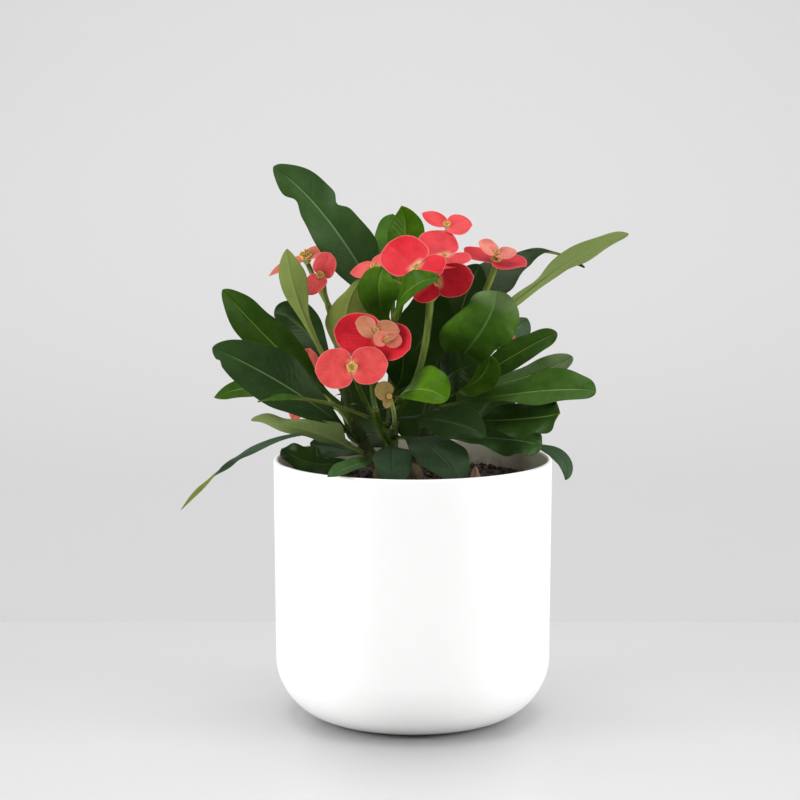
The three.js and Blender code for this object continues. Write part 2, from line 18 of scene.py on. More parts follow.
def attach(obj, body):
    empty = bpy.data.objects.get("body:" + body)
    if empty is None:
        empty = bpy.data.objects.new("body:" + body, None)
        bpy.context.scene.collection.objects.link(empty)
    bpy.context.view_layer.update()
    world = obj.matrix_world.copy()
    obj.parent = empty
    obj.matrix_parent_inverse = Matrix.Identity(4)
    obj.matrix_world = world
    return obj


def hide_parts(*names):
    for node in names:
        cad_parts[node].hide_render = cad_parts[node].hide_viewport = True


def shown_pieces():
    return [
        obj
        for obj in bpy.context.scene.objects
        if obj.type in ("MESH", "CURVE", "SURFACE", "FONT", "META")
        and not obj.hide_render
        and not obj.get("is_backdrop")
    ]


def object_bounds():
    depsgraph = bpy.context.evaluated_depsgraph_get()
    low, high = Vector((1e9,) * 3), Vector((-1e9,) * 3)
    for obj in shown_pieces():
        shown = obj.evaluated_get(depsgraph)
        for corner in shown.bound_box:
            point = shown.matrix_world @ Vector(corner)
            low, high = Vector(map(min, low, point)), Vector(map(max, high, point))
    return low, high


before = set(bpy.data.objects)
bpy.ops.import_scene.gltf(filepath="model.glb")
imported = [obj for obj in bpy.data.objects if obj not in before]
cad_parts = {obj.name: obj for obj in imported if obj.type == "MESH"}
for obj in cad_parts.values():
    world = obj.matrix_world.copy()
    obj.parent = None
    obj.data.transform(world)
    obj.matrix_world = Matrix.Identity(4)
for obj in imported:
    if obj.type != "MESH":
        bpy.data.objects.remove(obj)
cad_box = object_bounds()
MM = 0.001
print("pieces in the frame:", len(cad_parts))


def metres(values):
    """A point given in millimetres, in metres."""
    return Vector(values) * MM


# %% [markdown]
# ## Sums on sockets
# A shape or a finish that follows a rule is a long row of Math nodes. Written
# as Python sums it stays readable, so one small class wraps a socket and adds
# the Math node for each operator. Numbers, colours and vectors each go through
# the node that suits them.


# %% Sockets that can be added and multiplied
def holds_vector(value):
    """True for three numbers at once, on a socket or plain."""
    if isinstance(value, Field):
        return value.socket.type in ("VECTOR", "RGBA")
    return isinstance(value, (tuple, Vector))


class Field:
    """One output socket. Sums with it add Math or Vector Math nodes."""

    def __init__(self, tree, socket):
        self.tree = tree
        self.socket = socket

    def both(self, operation, left, right):
        vectors = [holds_vector(left), holds_vector(right)]
        if not any(vectors):
            return self.tree.add("ShaderNodeMath", {"operation": operation}, {0: left, 1: right})
        if operation == "MULTIPLY" and not all(vectors):
            vector, scale = (left, right) if vectors[0] else (right, left)
            return self.tree.add("ShaderNodeVectorMath", {"operation": "SCALE"}, {0: vector, 3: scale})
        return self.tree.add("ShaderNodeVectorMath", {"operation": operation}, {0: left, 1: right})

    def __add__(self, other):
        return self.both("ADD", self, other)

    def __radd__(self, other):
        return self.both("ADD", other, self)

    def __sub__(self, other):
        return self.both("SUBTRACT", self, other)

    def __rsub__(self, other):
        return self.both("SUBTRACT", other, self)

    def __mul__(self, other):
        return self.both("MULTIPLY", self, other)

    def __rmul__(self, other):
        return self.both("MULTIPLY", other, self)

    def __truediv__(self, other):
        return self.both("DIVIDE", self, other)

    def __pow__(self, other):
        return self.both("POWER", self, other)

    def math(self, operation, *others):
        values = {i: value for i, value in enumerate((self, *others))}
        return self.tree.add("ShaderNodeMath", {"operation": operation}, values)

    def clamped(self):
        return self.tree.add("ShaderNodeClamp", {}, {0: self})

    def cross(self, other):
        return self.both("CROSS_PRODUCT", self, other)

    def dot(self, other):
        return self.both("DOT_PRODUCT", self, other).output("Value")

    def unit(self):
        return self.tree.add("ShaderNodeVectorMath", {"operation": "NORMALIZE"}, {0: self})

    def output(self, name):
        return Field(self.tree, self.socket.node.outputs[name])

    def parts(self):
        split = self.tree.add("ShaderNodeSeparateXYZ", {}, {0: self})
        return [split.output(axis) for axis in "XYZ"]

    def rise(self, low, high):
        """0 below low and 1 above high, smoothly."""
        limits = {"Value": self, "From Min": low, "From Max": high}
        return self.tree.add("ShaderNodeMapRange", {"interpolation_type": "SMOOTHSTEP"}, limits)

    def bell(self, centre, width):
        """1 at the centre, fading to 0 over about the width."""
        share = (self - centre) / width
        return (share * share * -1.0).math("EXPONENT")


# %% [markdown]
# Every other node comes from one method that takes its type, its settings and
# what goes into its sockets, so a material or a shape reads from top to bottom.


# %% Trees that nodes are added to
class Tree:
    """A node tree with one way to add any node."""

    def __init__(self, nodes):
        self.nodes = nodes

    def add(self, kind, settings=None, values=None, output=0):
        node = self.nodes.nodes.new(kind)
        for name, value in (settings or {}).items():
            if name == "stops":
                set_stops(node.color_ramp.elements, value)
            else:
                setattr(node, name, value)
        for key, value in (values or {}).items():
            self.feed(node.inputs[key], value)
        return Field(self, node.outputs[output]) if node.outputs else node

    def feed(self, socket, value):
        if isinstance(value, list):
            for one in value:
                self.nodes.links.new(one.socket, socket)
        elif isinstance(value, Field):
            self.nodes.links.new(value.socket, socket)
        elif socket.type in ("VECTOR", "RGBA") and isinstance(value, (int, float)):
            size = len(socket.default_value)
            socket.default_value = (value,) * size
        elif socket.type == "RGBA" and len(value) == 3:
            socket.default_value = (*value, 1.0)
        else:
            socket.default_value = value

    def vector(self, x, y, z):
        return self.add("ShaderNodeCombineXYZ", {}, {0: x, 1: y, 2: z})

    def blend(self, share, first, second):
        """The first colour where share is 0, the second where it is 1."""
        return self.add("ShaderNodeMix", {"data_type": "RGBA"}, {0: share, 6: first, 7: second}, 2)

    def noise(self, place, scale, detail=3.0, roughness=0.55, stretch=None):
        if stretch is not None:
            place = place * stretch
        values = {"Vector": place, "Scale": scale, "Detail": detail, "Roughness": roughness}
        return self.add("ShaderNodeTexNoise", {}, values)

    def ramp(self, share, stops):
        """A colour for each share: stops are pairs of a place and a colour."""
        return self.add("ShaderNodeValToRGB", {"stops": stops}, {0: share})


def set_stops(elements, stops):
    while len(elements) < len(stops):
        elements.new(1.0)
    for element, (place, colour) in zip(elements, stops):
        element.position = place
        element.color = (*colour, 1.0)


# %% [markdown]
# ## Shapes from rules
# Leaves, bracts, stalks, thorns and crumbs all follow rules, so Geometry Nodes
# make them. Each tree has named inputs. Its modifier is filled in by the
# sockets' identifiers, then the result is turned into a plain mesh and the
# modifiers go.


# %% Geometry trees and the step from modifiers to a plain mesh
SOCKETS = {
    "number": "NodeSocketFloat",
    "whole": "NodeSocketInt",
    "point": "NodeSocketVector",
    "material": "NodeSocketMaterial",
}


class Shape(Tree):
    """A Geometry Nodes tree with named inputs."""

    def __init__(self, name, inputs):
        group = bpy.data.node_groups.new(name, "GeometryNodeTree")
        super().__init__(group)
        group.interface.new_socket("Before", in_out="INPUT", socket_type="NodeSocketGeometry")
        group.interface.new_socket("After", in_out="OUTPUT", socket_type="NodeSocketGeometry")
        for label, kind in inputs.items():
            group.interface.new_socket(label, in_out="INPUT", socket_type=SOCKETS[kind])
        self.start = group.nodes.new("NodeGroupInput")
        self.end = group.nodes.new("NodeGroupOutput")

    def given(self, name):
        return Field(self, self.start.outputs[name])

    def place(self):
        return self.add("GeometryNodeInputPosition")

    def store(self, geometry, name, value, kind="FLOAT_VECTOR"):
        settings = {"data_type": kind, "domain": "POINT"}
        values = {"Geometry": geometry, "Name": name, "Value": value}
        return self.add("GeometryNodeStoreNamedAttribute", settings, values)

    def ball(self, segments, rings, radius=1.0):
        sizes = {"Segments": segments, "Rings": rings, "Radius": radius}
        return self.add("GeometryNodeMeshUVSphere", {}, sizes)

    def tube(self, around, along):
        """A closed tube of radius 1, from -0.5 to 0.5 upward."""
        sizes = {"Vertices": around, "Side Segments": along, "Radius": 1.0, "Depth": 1.0}
        return self.add("GeometryNodeMeshCylinder", {"fill_type": "TRIANGLE_FAN"}, sizes)

    def ring(self, count, radius):
        return self.add("GeometryNodeMeshCircle", {}, {"Vertices": count, "Radius": radius})

    def moved(self, geometry, spot=None, step=None):
        """Puts every point at its spot, or moves it by a step."""
        where = {"Position": spot} if step is None else {"Offset": step}
        return self.add("GeometryNodeSetPosition", {}, {"Geometry": geometry, **where})

    def raised(self, geometry, height):
        values = {"Geometry": geometry, "Translation": (0, 0, height)}
        return self.add("GeometryNodeTransform", {}, values)

    def copies(self, points, instance, **more):
        """The instance at every point; more gives its Rotation and Scale."""
        values = {"Points": points, "Instance": instance, **more}
        return self.add("GeometryNodeInstanceOnPoints", {}, values)

    def random(self, low, high, seed):
        """A random number, or three of them, for every point."""
        if holds_vector(low):
            kind, values, output = "FLOAT_VECTOR", {0: low, 1: high}, 0
        else:
            kind, values, output = "FLOAT", {2: low, 3: high}, 1
        return self.add("FunctionNodeRandomValue", {"data_type": kind}, {**values, "Seed": seed}, output)

    def finish(self, geometry, base=None):
        """Everything solid, smooth, with its material, beside what came in or a base."""
        solid = self.add("GeometryNodeRealizeInstances", {}, {0: geometry})
        smooth = self.add("GeometryNodeSetShadeSmooth", {}, {0: solid})
        base = base or self.given("Before")
        joined = self.add("GeometryNodeJoinGeometry", {}, {0: [smooth, base]})
        done = self.add("GeometryNodeSetMaterial", {}, {0: joined, "Material": self.given("Material")})
        self.nodes.links.new(done.socket, self.end.inputs[0])
        print("tree", self.nodes.name, "with", len(self.nodes.nodes), "nodes")


def new_piece(name, mesh=None):
    piece = bpy.data.objects.new(name, mesh or bpy.data.meshes.new(name))
    bpy.context.scene.collection.objects.link(piece)
    return piece


def grow(piece, shape, **values):
    """Adds the shape's modifier; an input's name is written with _ for a space."""
    modifier = piece.modifiers.new(shape.nodes.name, "NODES")
    modifier.node_group = shape.nodes
    for socket in shape.nodes.interface.items_tree:
        key = socket.name.lower().replace(" ", "_")
        if socket.in_out == "INPUT" and key in values:
            value = values.pop(key)
            modifier[socket.identifier] = tuple(value) if isinstance(value, Vector) else value
    if values:
        raise ValueError(f"no such input: {sorted(values)}")


def settle(piece):
    """Turns what the modifiers make into a plain mesh."""
    evaluated = piece.evaluated_get(bpy.context.evaluated_depsgraph_get())
    mesh = bpy.data.meshes.new_from_object(evaluated)
    piece.modifiers.clear()
    piece.data = mesh
    mesh.name = piece.name


def hand_over(piece, node):
    """The piece stands for its node and rides with the plant."""
    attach(piece, "root")
    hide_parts(node)


# %% [markdown]
# ## Turned shapes
# The pot, the soil and the cup of each flower are round, so a profile turned
# round an axis makes them. Both ends of the profile lie on the axis, which
# closes the body.


# %% A profile turned round the axis
def turned(name, profile, segments):
    """A mesh from (radius, height) points in millimetres, which start and end on the axis."""
    points = []
    faces = []
    rings = []
    for radius, height in profile:
        if radius == 0:
            rings.append([len(points)])
            points.append((0, 0, height * MM))
            continue
        rings.append(list(range(len(points), len(points) + segments)))
        for k in range(segments):
            angle = 2 * math.pi * k / segments
            points.append((radius * MM * math.cos(angle), radius * MM * math.sin(angle), height * MM))
    for lower, upper in zip(rings, rings[1:]):
        for k in range(segments):
            corner = [lower[k % len(lower)], lower[(k + 1) % len(lower)]]
            corner += [upper[(k + 1) % len(upper)], upper[k % len(upper)]]
            faces.append(list(dict.fromkeys(corner)))
    mesh = bpy.data.meshes.new(name)
    mesh.from_pydata(points, [], faces)
    mesh.shade_smooth()
    return mesh


def mix(a, b, share):
    return a + (b - a) * share


def even_steps(profile, longest):
    """Adds points so that no step of a profile is longer than this."""
    points = [profile[0]]
    for (r0, z0), (r1, z1) in zip(profile, profile[1:]):
        count = max(1, math.ceil(math.hypot(r1 - r0, z1 - z0) / longest))
        points += [(mix(r0, r1, i / count), mix(z0, z1, i / count)) for i in range(1, count + 1)]
    return points


# %% [markdown]
# ## Finishes
# Every finish is a node material. Patterns sit in Object coordinates or in
# attributes that the shapes store: how far along a leaf a point is, how far
# across, and which side of the blade it is on. Only colour, roughness and the
# bump vary over a surface.


# %% A material with one shader
class Finish(Tree):
    """A material with one Principled shader."""

    def __init__(self, name, **constants):
        self.material = bpy.data.materials.new(name)
        self.material.use_nodes = True
        super().__init__(self.material.node_tree)
        self.shader = self.nodes.nodes["Principled BSDF"]
        sockets = {socket.name.lower().replace(" ", "_"): socket for socket in self.shader.inputs}
        for label, value in constants.items():
            sockets[label].default_value = value

    def place(self):
        return self.add("ShaderNodeTexCoord").output("Object")

    def stored(self, name, output="Vector"):
        return self.add("ShaderNodeAttribute", {"attribute_name": name}).output(output)

    def wear(self, colour, roughness, height=None, depth=0.0003):
        self.feed(self.shader.inputs["Base Color"], colour)
        self.feed(self.shader.inputs["Roughness"], roughness)
        if height is not None:
            bump = self.add("ShaderNodeBump", {}, {"Height": height, "Distance": depth, "Strength": 1.0})
            self.feed(self.shader.inputs["Normal"], bump)
        print("finish", self.material.name, "with", len(self.nodes.nodes), "nodes")
        return self.material


# %% [markdown]
# The pot is matt white ceramic. Its surface is almost even, so the finish has a very
# faint cloudiness, a fine tooth like unglazed bisque, and a little soil dust on the
# inner wall just above the soil. The whole inner wall is painted a darker warm grey:
# painted shade, warmed like light bounced off the soil.


# %% White ceramic
WALL_MIDDLE = (0.0738, 0.0745)
INSIDE_STARTS = (0.118, 0.122)
DUST_FADES = (0.1285, 0.1385)


def make_ceramic():
    finish = Finish("matt_white_ceramic", specular_ior_level=0.4)
    place = finish.place()
    cloud = finish.noise(place, 22.0, 2.0)
    tooth = finish.noise(place, 900.0, 2.0)
    x, y, z = place.parts()
    radius = (x * x + y * y) ** 0.5
    inside = (1.0 - radius.rise(*WALL_MIDDLE)) * z.rise(*INSIDE_STARTS)
    low = 1.0 - z.rise(*DUST_FADES)
    dust = inside * low * finish.noise(place, 160.0, 4.0).rise(0.35, 0.7)
    white = finish.blend(cloud, (0.86, 0.86, 0.855), (0.89, 0.89, 0.885))
    # painted shade: the whole inner wall is made a darker warm grey, as it looks in shade with light
    # bounced off the soil
    colour = finish.blend(inside * 0.9, white, (0.33, 0.31, 0.23))
    colour = finish.blend(dust * 0.6, colour, (0.12, 0.09, 0.065))
    return finish.wear(colour, 0.42 + cloud * 0.12, tooth, 0.00004)


# %% [markdown]
# Potting soil is a dark, damp mix: nearly black fines, browner fibres and a few
# pale grains. Small cells give the crumbs their own tones.


# %% Soil
def make_soil_finish():
    finish = Finish("damp_potting_soil", specular_ior_level=0.25)
    place = finish.place()
    crumbs = finish.add("ShaderNodeTexVoronoi", {}, {"Vector": place, "Scale": 420.0})
    tone = crumbs.output("Color").parts()[0]
    patch = finish.noise(place, 60.0, 4.0)
    stops = [(0.0, (0.008, 0.006, 0.005)), (0.6, (0.028, 0.018, 0.012)), (1.0, (0.075, 0.045, 0.027))]
    ramp = finish.ramp(tone * 0.55 + patch * 0.5, stops)
    pale = tone.rise(0.93, 0.96)
    colour = finish.blend(pale * 0.5, ramp, (0.22, 0.16, 0.1))
    height = crumbs.output("Distance") * 0.7 + finish.noise(place, 900.0, 3.0) * 0.3
    return finish.wear(colour, 0.82 + patch * 0.15, height, 0.0006)


# %% [markdown]
# Bark has a grain that runs along the piece: noise that is stretched upward
# gives the tan chip in the soil its fibres.


# %% Bark chip
def make_chip_finish():
    finish = Finish("tan_bark", specular_ior_level=0.3)
    place = finish.place()
    grain = finish.noise(place, 240.0, 4.0, 0.6, (1.0, 1.0, 0.18))
    speck = finish.noise(place, 900.0, 2.0)
    stops = [(0.25, (0.1, 0.055, 0.028)), (0.5, (0.28, 0.17, 0.095)), (0.75, (0.46, 0.32, 0.19))]
    ramp = finish.ramp(grain * 0.8 + speck * 0.2, stops)
    return finish.wear(ramp, 0.75 + speck * 0.2, grain + speck * 0.3, 0.0006)


# %% [markdown]
# The stem is grey-brown wood at the foot and turns green near the tips of the
# branches. The green is painted nearly black: painted shade, as the branches stand
# in the shade of the leaves. Its thorns are darker and smoother. The stored number
# `thorn` tells the two apart.


# %% Stem
def make_stem_finish():
    finish = Finish("thorny_stem", specular_ior_level=0.15)
    place = finish.place()
    height = place.parts()[2]
    patch = finish.noise(place, 140.0, 5.0, 0.6, (1.0, 1.0, 0.45))
    fine = finish.noise(place, 700.0, 3.0)
    green = (height + patch * 0.03).rise(0.145, 0.17)
    bark = [(0.3, (0.03, 0.02, 0.011)), (0.5, (0.085, 0.058, 0.032)), (0.72, (0.17, 0.125, 0.07))]
    # painted shade: the green skin is made nearly black-green, as the branches look in the shade of the
    # leaves
    shaded_green = [(0.3, (0.014, 0.024, 0.004)), (0.7, (0.045, 0.07, 0.01))]
    wood = finish.ramp(patch, bark)
    skin = finish.ramp(patch, shaded_green)
    thorn = finish.stored("thorn", "Fac")
    colour = finish.blend(green, wood, skin)
    colour = finish.blend(thorn, colour, (0.1, 0.08, 0.045))
    bump = (patch * 0.7 + fine * 0.3) * (1.0 - green * 0.6) * (1.0 - thorn)
    return finish.wear(colour, 0.85 - green * 0.3, bump, 0.0007)


# %% [markdown]
# A leaf is leathery and dark green above, with a pale midrib and faint side veins
# that slant to the tip. Below it is paler and duller, and its midrib stands out.
# Young leaves are brighter. The upper side also carries painted light: painted
# shade toward the base, painted highlights as silvery streaks and a lighter tip,
# and a grey that is partly bloom and partly painted sheen. The shape stores where
# each point lies (along, across, side of the blade) and the leaf's own tone, so one
# finish does for all the leaves.


# %% Leaf
VEINS = 17.0
VEIN_SLANT = 3.4


def make_leaf_finish():
    finish = Finish("leathery_leaf", specular_ior_level=0.1, specular_tint=(0.8, 1.0, 0.6, 1.0))
    place = finish.place()
    along, across, upper = finish.stored("blade").parts()
    tone, dust, pale = finish.stored("leaf_look").parts()
    off = across.math("ABSOLUTE")
    wander = finish.noise(place, 90.0, 3.0)
    blotch = finish.noise(place, 38.0, 4.0, 0.6).rise(0.3, 0.7)
    fine = finish.noise(place, 420.0, 3.0)
    patch = finish.noise(place, 30.0, 2.0).rise(0.42, 0.62)
    vein = ((along * VEINS - off * VEIN_SLANT + wander * 2.6) * (2 * math.pi)).math("SINE")
    inner = off.rise(0.03, 0.15) * (1.0 - off.rise(0.7, 0.95))
    vein_line = vein.rise(0.7, 1.0) * inner * (0.3 + patch)
    fine_place = along * VEINS * 2.3 - off * VEIN_SLANT * 1.6 + wander * 1.6
    fine_vein = (fine_place * (2 * math.pi)).math("SINE")
    # streak marks fine bands between the side veins: darker on the underside, and a painted highlight on
    # the upper side
    streak = fine_vein.rise(0.0, 1.0) * inner * patch * fine.rise(0.35, 0.65)
    rib = 1.0 - off.rise(0.01, 0.08 - along * 0.045)
    rib = rib * (1.0 - along.rise(0.8, 1.0))
    margin = off.rise(0.92, 0.99)
    mottle = finish.noise(place, 170.0, 4.0).rise(0.35, 0.7)

    old = finish.blend(blotch, (0.006, 0.017, 0.002), (0.012, 0.031, 0.004))
    middle = finish.blend(blotch, (0.021, 0.062, 0.003), (0.036, 0.09, 0.006))
    young = finish.blend(blotch, (0.045, 0.13, 0.002), (0.085, 0.2, 0.006))
    top = finish.blend(tone.rise(0.0, 0.5), old, middle)
    top = finish.blend(tone.rise(0.5, 1.0), top, young)
    top = finish.blend(mottle * 0.3, top, (0.008, 0.022, 0.003))
    top = finish.blend(vein_line * (0.01 + tone * 0.04 + dust * 0.05), top, (0.12, 0.2, 0.08))
    # partly real, partly painted light: the grey bloom also stands in for the soft sheen of the lamps on
    # the blade
    top = finish.blend(dust * (0.1 + 0.4 * wander), top, (0.1, 0.165, 0.12))
    # painted highlight: silvery streaks on the upper side stand in for glints of the lamps on the glossy
    # blade
    top = finish.blend(dust.rise(0.1, 0.5) * streak * 0.22, top, (0.13, 0.23, 0.16))
    rib_tint = finish.blend(dust.rise(0.05, 0.4), (0.2, 0.32, 0.05), (0.18, 0.3, 0.17))
    top = finish.blend(rib * (0.1 + 0.5 * tone.rise(0.0, 0.3)), top, rib_tint)
    top = finish.blend(margin * 0.4, top, (0.012, 0.02, 0.005))
    # painted highlight: pale lightens the tip of the upper side, standing in for light that the tip
    # catches
    top = finish.blend(pale * along.rise(0.7, 0.88), top, (0.42, 0.48, 0.3))
    under = finish.blend(blotch, (0.11, 0.135, 0.02), (0.17, 0.2, 0.035))
    under = finish.blend(streak * 0.3, under, (0.06, 0.09, 0.012))
    under = finish.blend(rib * 0.6, under, (0.2, 0.27, 0.07))
    under = finish.blend(pale * (1.0 - streak * 0.4), under, (0.25, 0.34, 0.12))
    under = finish.blend(margin * 0.3, under, (0.06, 0.085, 0.015))
    colour = finish.blend(upper, under, top)
    # painted shade: the upper side darkens toward the base, where the middle of the plant shades it
    base_shade = (1.0 - along.rise(0.1, 0.5)) * upper * (1.0 - tone.rise(0.88, 0.9))
    colour = finish.blend(base_shade * 0.6, colour, (0.01, 0.02, 0.002))
    stalk = 1.0 - along.rise(0.04, 0.2)
    colour = finish.blend(stalk * (0.1 + tone * 0.5), colour, (0.1, 0.17, 0.02))

    roughness = mix(0.55, 0.3, upper) + dust * 0.12 + fine * 0.1
    ridge = vein * off.rise(0.0, 0.2) * (1.0 - off.rise(0.7, 1.0)) * patch
    height = ridge * 0.08 + wander * 0.8 + fine * 0.2
    return finish.wear(colour, roughness, height, 0.0004)


# %% [markdown]
# Flower stalks are smooth and juicy: yellow-green, a little blotched, lighter
# under the flowers.


# %% Flower stalk
def make_stalk_finish():
    finish = Finish("green_stalk", specular_ior_level=0.25)
    place = finish.place()
    streak = finish.noise(place, 260.0, 3.0, 0.55, (1.0, 1.0, 0.15))
    blotch = finish.noise(place, 60.0, 3.0)
    height = place.parts()[2]
    low = finish.blend(streak.rise(0.3, 0.7), (0.03, 0.055, 0.004), (0.06, 0.1, 0.007))
    high = finish.blend(streak.rise(0.3, 0.7), (0.095, 0.15, 0.013), (0.17, 0.225, 0.027))
    colour = finish.blend(height.rise(0.165, 0.235), low, high)
    colour = finish.blend(blotch.rise(0.62, 0.78) * 0.35, colour, (0.25, 0.17, 0.06))
    return finish.wear(colour, 0.42 + streak * 0.12, streak + blotch, 0.0002)


# %% [markdown]
# Bracts are coral red, lighter at the very rim, cream at the throat, with fine
# darker specks and veins that fan out from the throat. `zone` tells bract, cup,
# glands and anthers apart, and `tint` holds how pale and how dried a flower is,
# and how much painted shade darkens its red.


# %% Flower
ZONE_BRACT, ZONE_CUP, ZONE_GLAND, ZONE_ANTHER, ZONE_STALK = range(5)


def make_flower_finish():
    finish = Finish("coral_flower", specular_ior_level=0.2, sheen_weight=0.04, sheen_roughness=0.4)
    place = finish.place()
    out, across, rim = finish.stored("petal").parts()
    upper = finish.stored("upper", "Fac")
    pale, dry, deep_shade = finish.stored("tint").parts()
    zone = finish.stored("zone", "Fac")
    cloud = finish.noise(place, 170.0, 3.0)
    fine = finish.noise(place, 900.0, 2.0)
    angle = across.math("ARCTAN2", out)
    fan = ((angle * 24.0 + cloud * 3.0) * 2.0).math("SINE") * out.rise(0.05, 0.4)
    speck = finish.add("ShaderNodeTexVoronoi", {}, {"Vector": place, "Scale": 620.0})
    spots = (1.0 - speck.output("Distance").rise(0.12, 0.3)) * cloud.rise(0.48, 0.62)

    red = finish.blend(cloud.rise(0.25, 0.75), (0.56, 0.007, 0.018), (0.7, 0.016, 0.031))
    # painted shade: this darkens the red of flowers in shade, and of top flowers that the lamps light
    # strongly
    red = finish.blend(deep_shade, red, (0.3, 0.004, 0.01))
    red = finish.blend(fan.rise(0.3, 1.0) * 0.06, red, (0.4, 0.008, 0.02))
    red = finish.blend(spots * 0.35, red, (0.3, 0.006, 0.02))
    salmon = finish.blend(cloud.rise(0.3, 0.7), (0.6, 0.25, 0.18), (0.78, 0.4, 0.3))
    bract = finish.blend(pale, red, salmon)
    bract = finish.blend((1.0 - upper) * 0.35, bract, (0.75, 0.22, 0.2))
    bract = finish.blend(rim.rise(0.94, 1.0) * 0.45, bract, (0.82, 0.3, 0.28))
    throat = (1.0 - out.rise(0.02, 0.2)) * (1.0 - across.math("ABSOLUTE").rise(0.03, 0.25))
    bract = finish.blend(throat * 0.8, bract, (0.82, 0.58, 0.36))
    bract = finish.blend(dry, bract, finish.blend(cloud, (0.14, 0.15, 0.03), (0.33, 0.29, 0.08)))

    cup = finish.blend(cloud, (0.5, 0.5, 0.16), (0.78, 0.68, 0.36))
    colour = finish.blend(zone.bell(ZONE_CUP, 0.3), bract, cup)
    colour = finish.blend(zone.bell(ZONE_GLAND, 0.3), colour, (0.72, 0.42, 0.06))
    colour = finish.blend(zone.bell(ZONE_ANTHER, 0.3), colour, (0.62, 0.3, 0.07))
    green = finish.blend(cloud, (0.13, 0.2, 0.04), (0.24, 0.3, 0.09))
    colour = finish.blend(zone.bell(ZONE_STALK, 0.3), colour, green)
    height = fan * 0.12 + cloud * 0.8 + fine * 0.15
    return finish.wear(colour, 0.5 + fine * 0.12, height, 0.00025)


CERAMIC = make_ceramic()
SOIL = make_soil_finish()
BARK = make_chip_finish()
STEM = make_stem_finish()
LEAF = make_leaf_finish()
STALK = make_stalk_finish()
FLOWER = make_flower_finish()

# %% [markdown]
# ## The pot
# The pot is one casting: a flat foot, a generous rounded corner, an almost
# upright side and a soft lip. The corner is a curve a little flatter than a
# quarter of an ellipse. Inside, the wall goes down to a flat floor.

# %% Pot
POT_RADIUS = 76.0
POT_HEIGHT = 142.0
POT_WALL = 2.6
POT_FLARE = 0.7
POT_FLOOR = 5.0
CORNER_WIDTH = 28.6
CORNER_HEIGHT = 31.1
CORNER_POWER = 1.83
POT_SEGMENTS = 160
LIP = POT_WALL / 2
FOOT_FLAT = 20
LONG_STEP = 12.0


def corner_point(share):
    """A point on the rounded corner, from the foot (0) to the side (1)."""
    angle = share * math.pi / 2
    side = POT_RADIUS - POT_FLARE
    out = CORNER_WIDTH * math.sin(angle) ** (2 / CORNER_POWER)
    up = CORNER_HEIGHT * (1 - math.cos(angle) ** (2 / CORNER_POWER))
    return side - CORNER_WIDTH + out, up


def inner_corner(radius, floor, steps):
    """The rounded corner inside the pot, from the floor up to the side."""
    bend = CORNER_WIDTH - POT_WALL
    points = []
    for i in range(steps + 1):
        angle = math.pi / 2 * i / steps
        up = (CORNER_HEIGHT - POT_FLOOR) * (1 - math.cos(angle))
        points.append((radius - bend + bend * math.sin(angle), floor + up))
    return points


def pot_profile():
    profile = [(0, 0), (FOOT_FLAT, 0)]
    profile += [corner_point(i / 22) for i in range(23)]
    profile += [(POT_RADIUS, POT_HEIGHT - LIP)]
    for i in range(1, 10):
        angle = math.pi * i / 10
        across, up = LIP * math.cos(angle), LIP * math.sin(angle)
        profile.append((POT_RADIUS - LIP + across, POT_HEIGHT - LIP + up))
    profile.append((POT_RADIUS - POT_WALL, POT_HEIGHT - LIP))
    profile += reversed(inner_corner(POT_RADIUS - POT_FLARE - POT_WALL, POT_FLOOR, 12))
    profile.append((0, POT_FLOOR))
    return profile


pot_mesh = turned("white_pot", even_steps(pot_profile(), LONG_STEP), POT_SEGMENTS)
pot_mesh.materials.append(CERAMIC)
white_pot = new_piece("white_pot", pot_mesh)
hand_over(white_pot, "pot")
print("pot faces:", len(pot_mesh.polygons))

# %% [markdown]
# ## The soil
# The soil is a turned body that fills the pot. A tree roughens its top and
# strews crumbs over it: points on the upward faces, each with a small lumpy
# grain of its own size and turn.

# %% Soil and crumbs
SOIL_TOP = 130.0
SOIL_RADIUS = 72.4
SEAT_GAP = 0.3
TOP_STEP = 1.8
TOP_FACE = (0.1265, 0.129)
CRUMB_REACH = 0.0705
CRUMB_LOWEST = 0.1


def soil_profile():
    floor = POT_FLOOR + SEAT_GAP
    profile = [(0, floor), *inner_corner(SOIL_RADIUS, floor, 6)]
    profile += [(SOIL_RADIUS + SEAT_GAP, SOIL_TOP - 2.2), (SOIL_RADIUS - 1, SOIL_TOP - 1.6)]
    top = [(SOIL_RADIUS - 2, SOIL_TOP - 1.2), (SOIL_RADIUS * 0.75, SOIL_TOP), (0, SOIL_TOP)]
    return even_steps(profile, LONG_STEP) + even_steps(top, TOP_STEP)


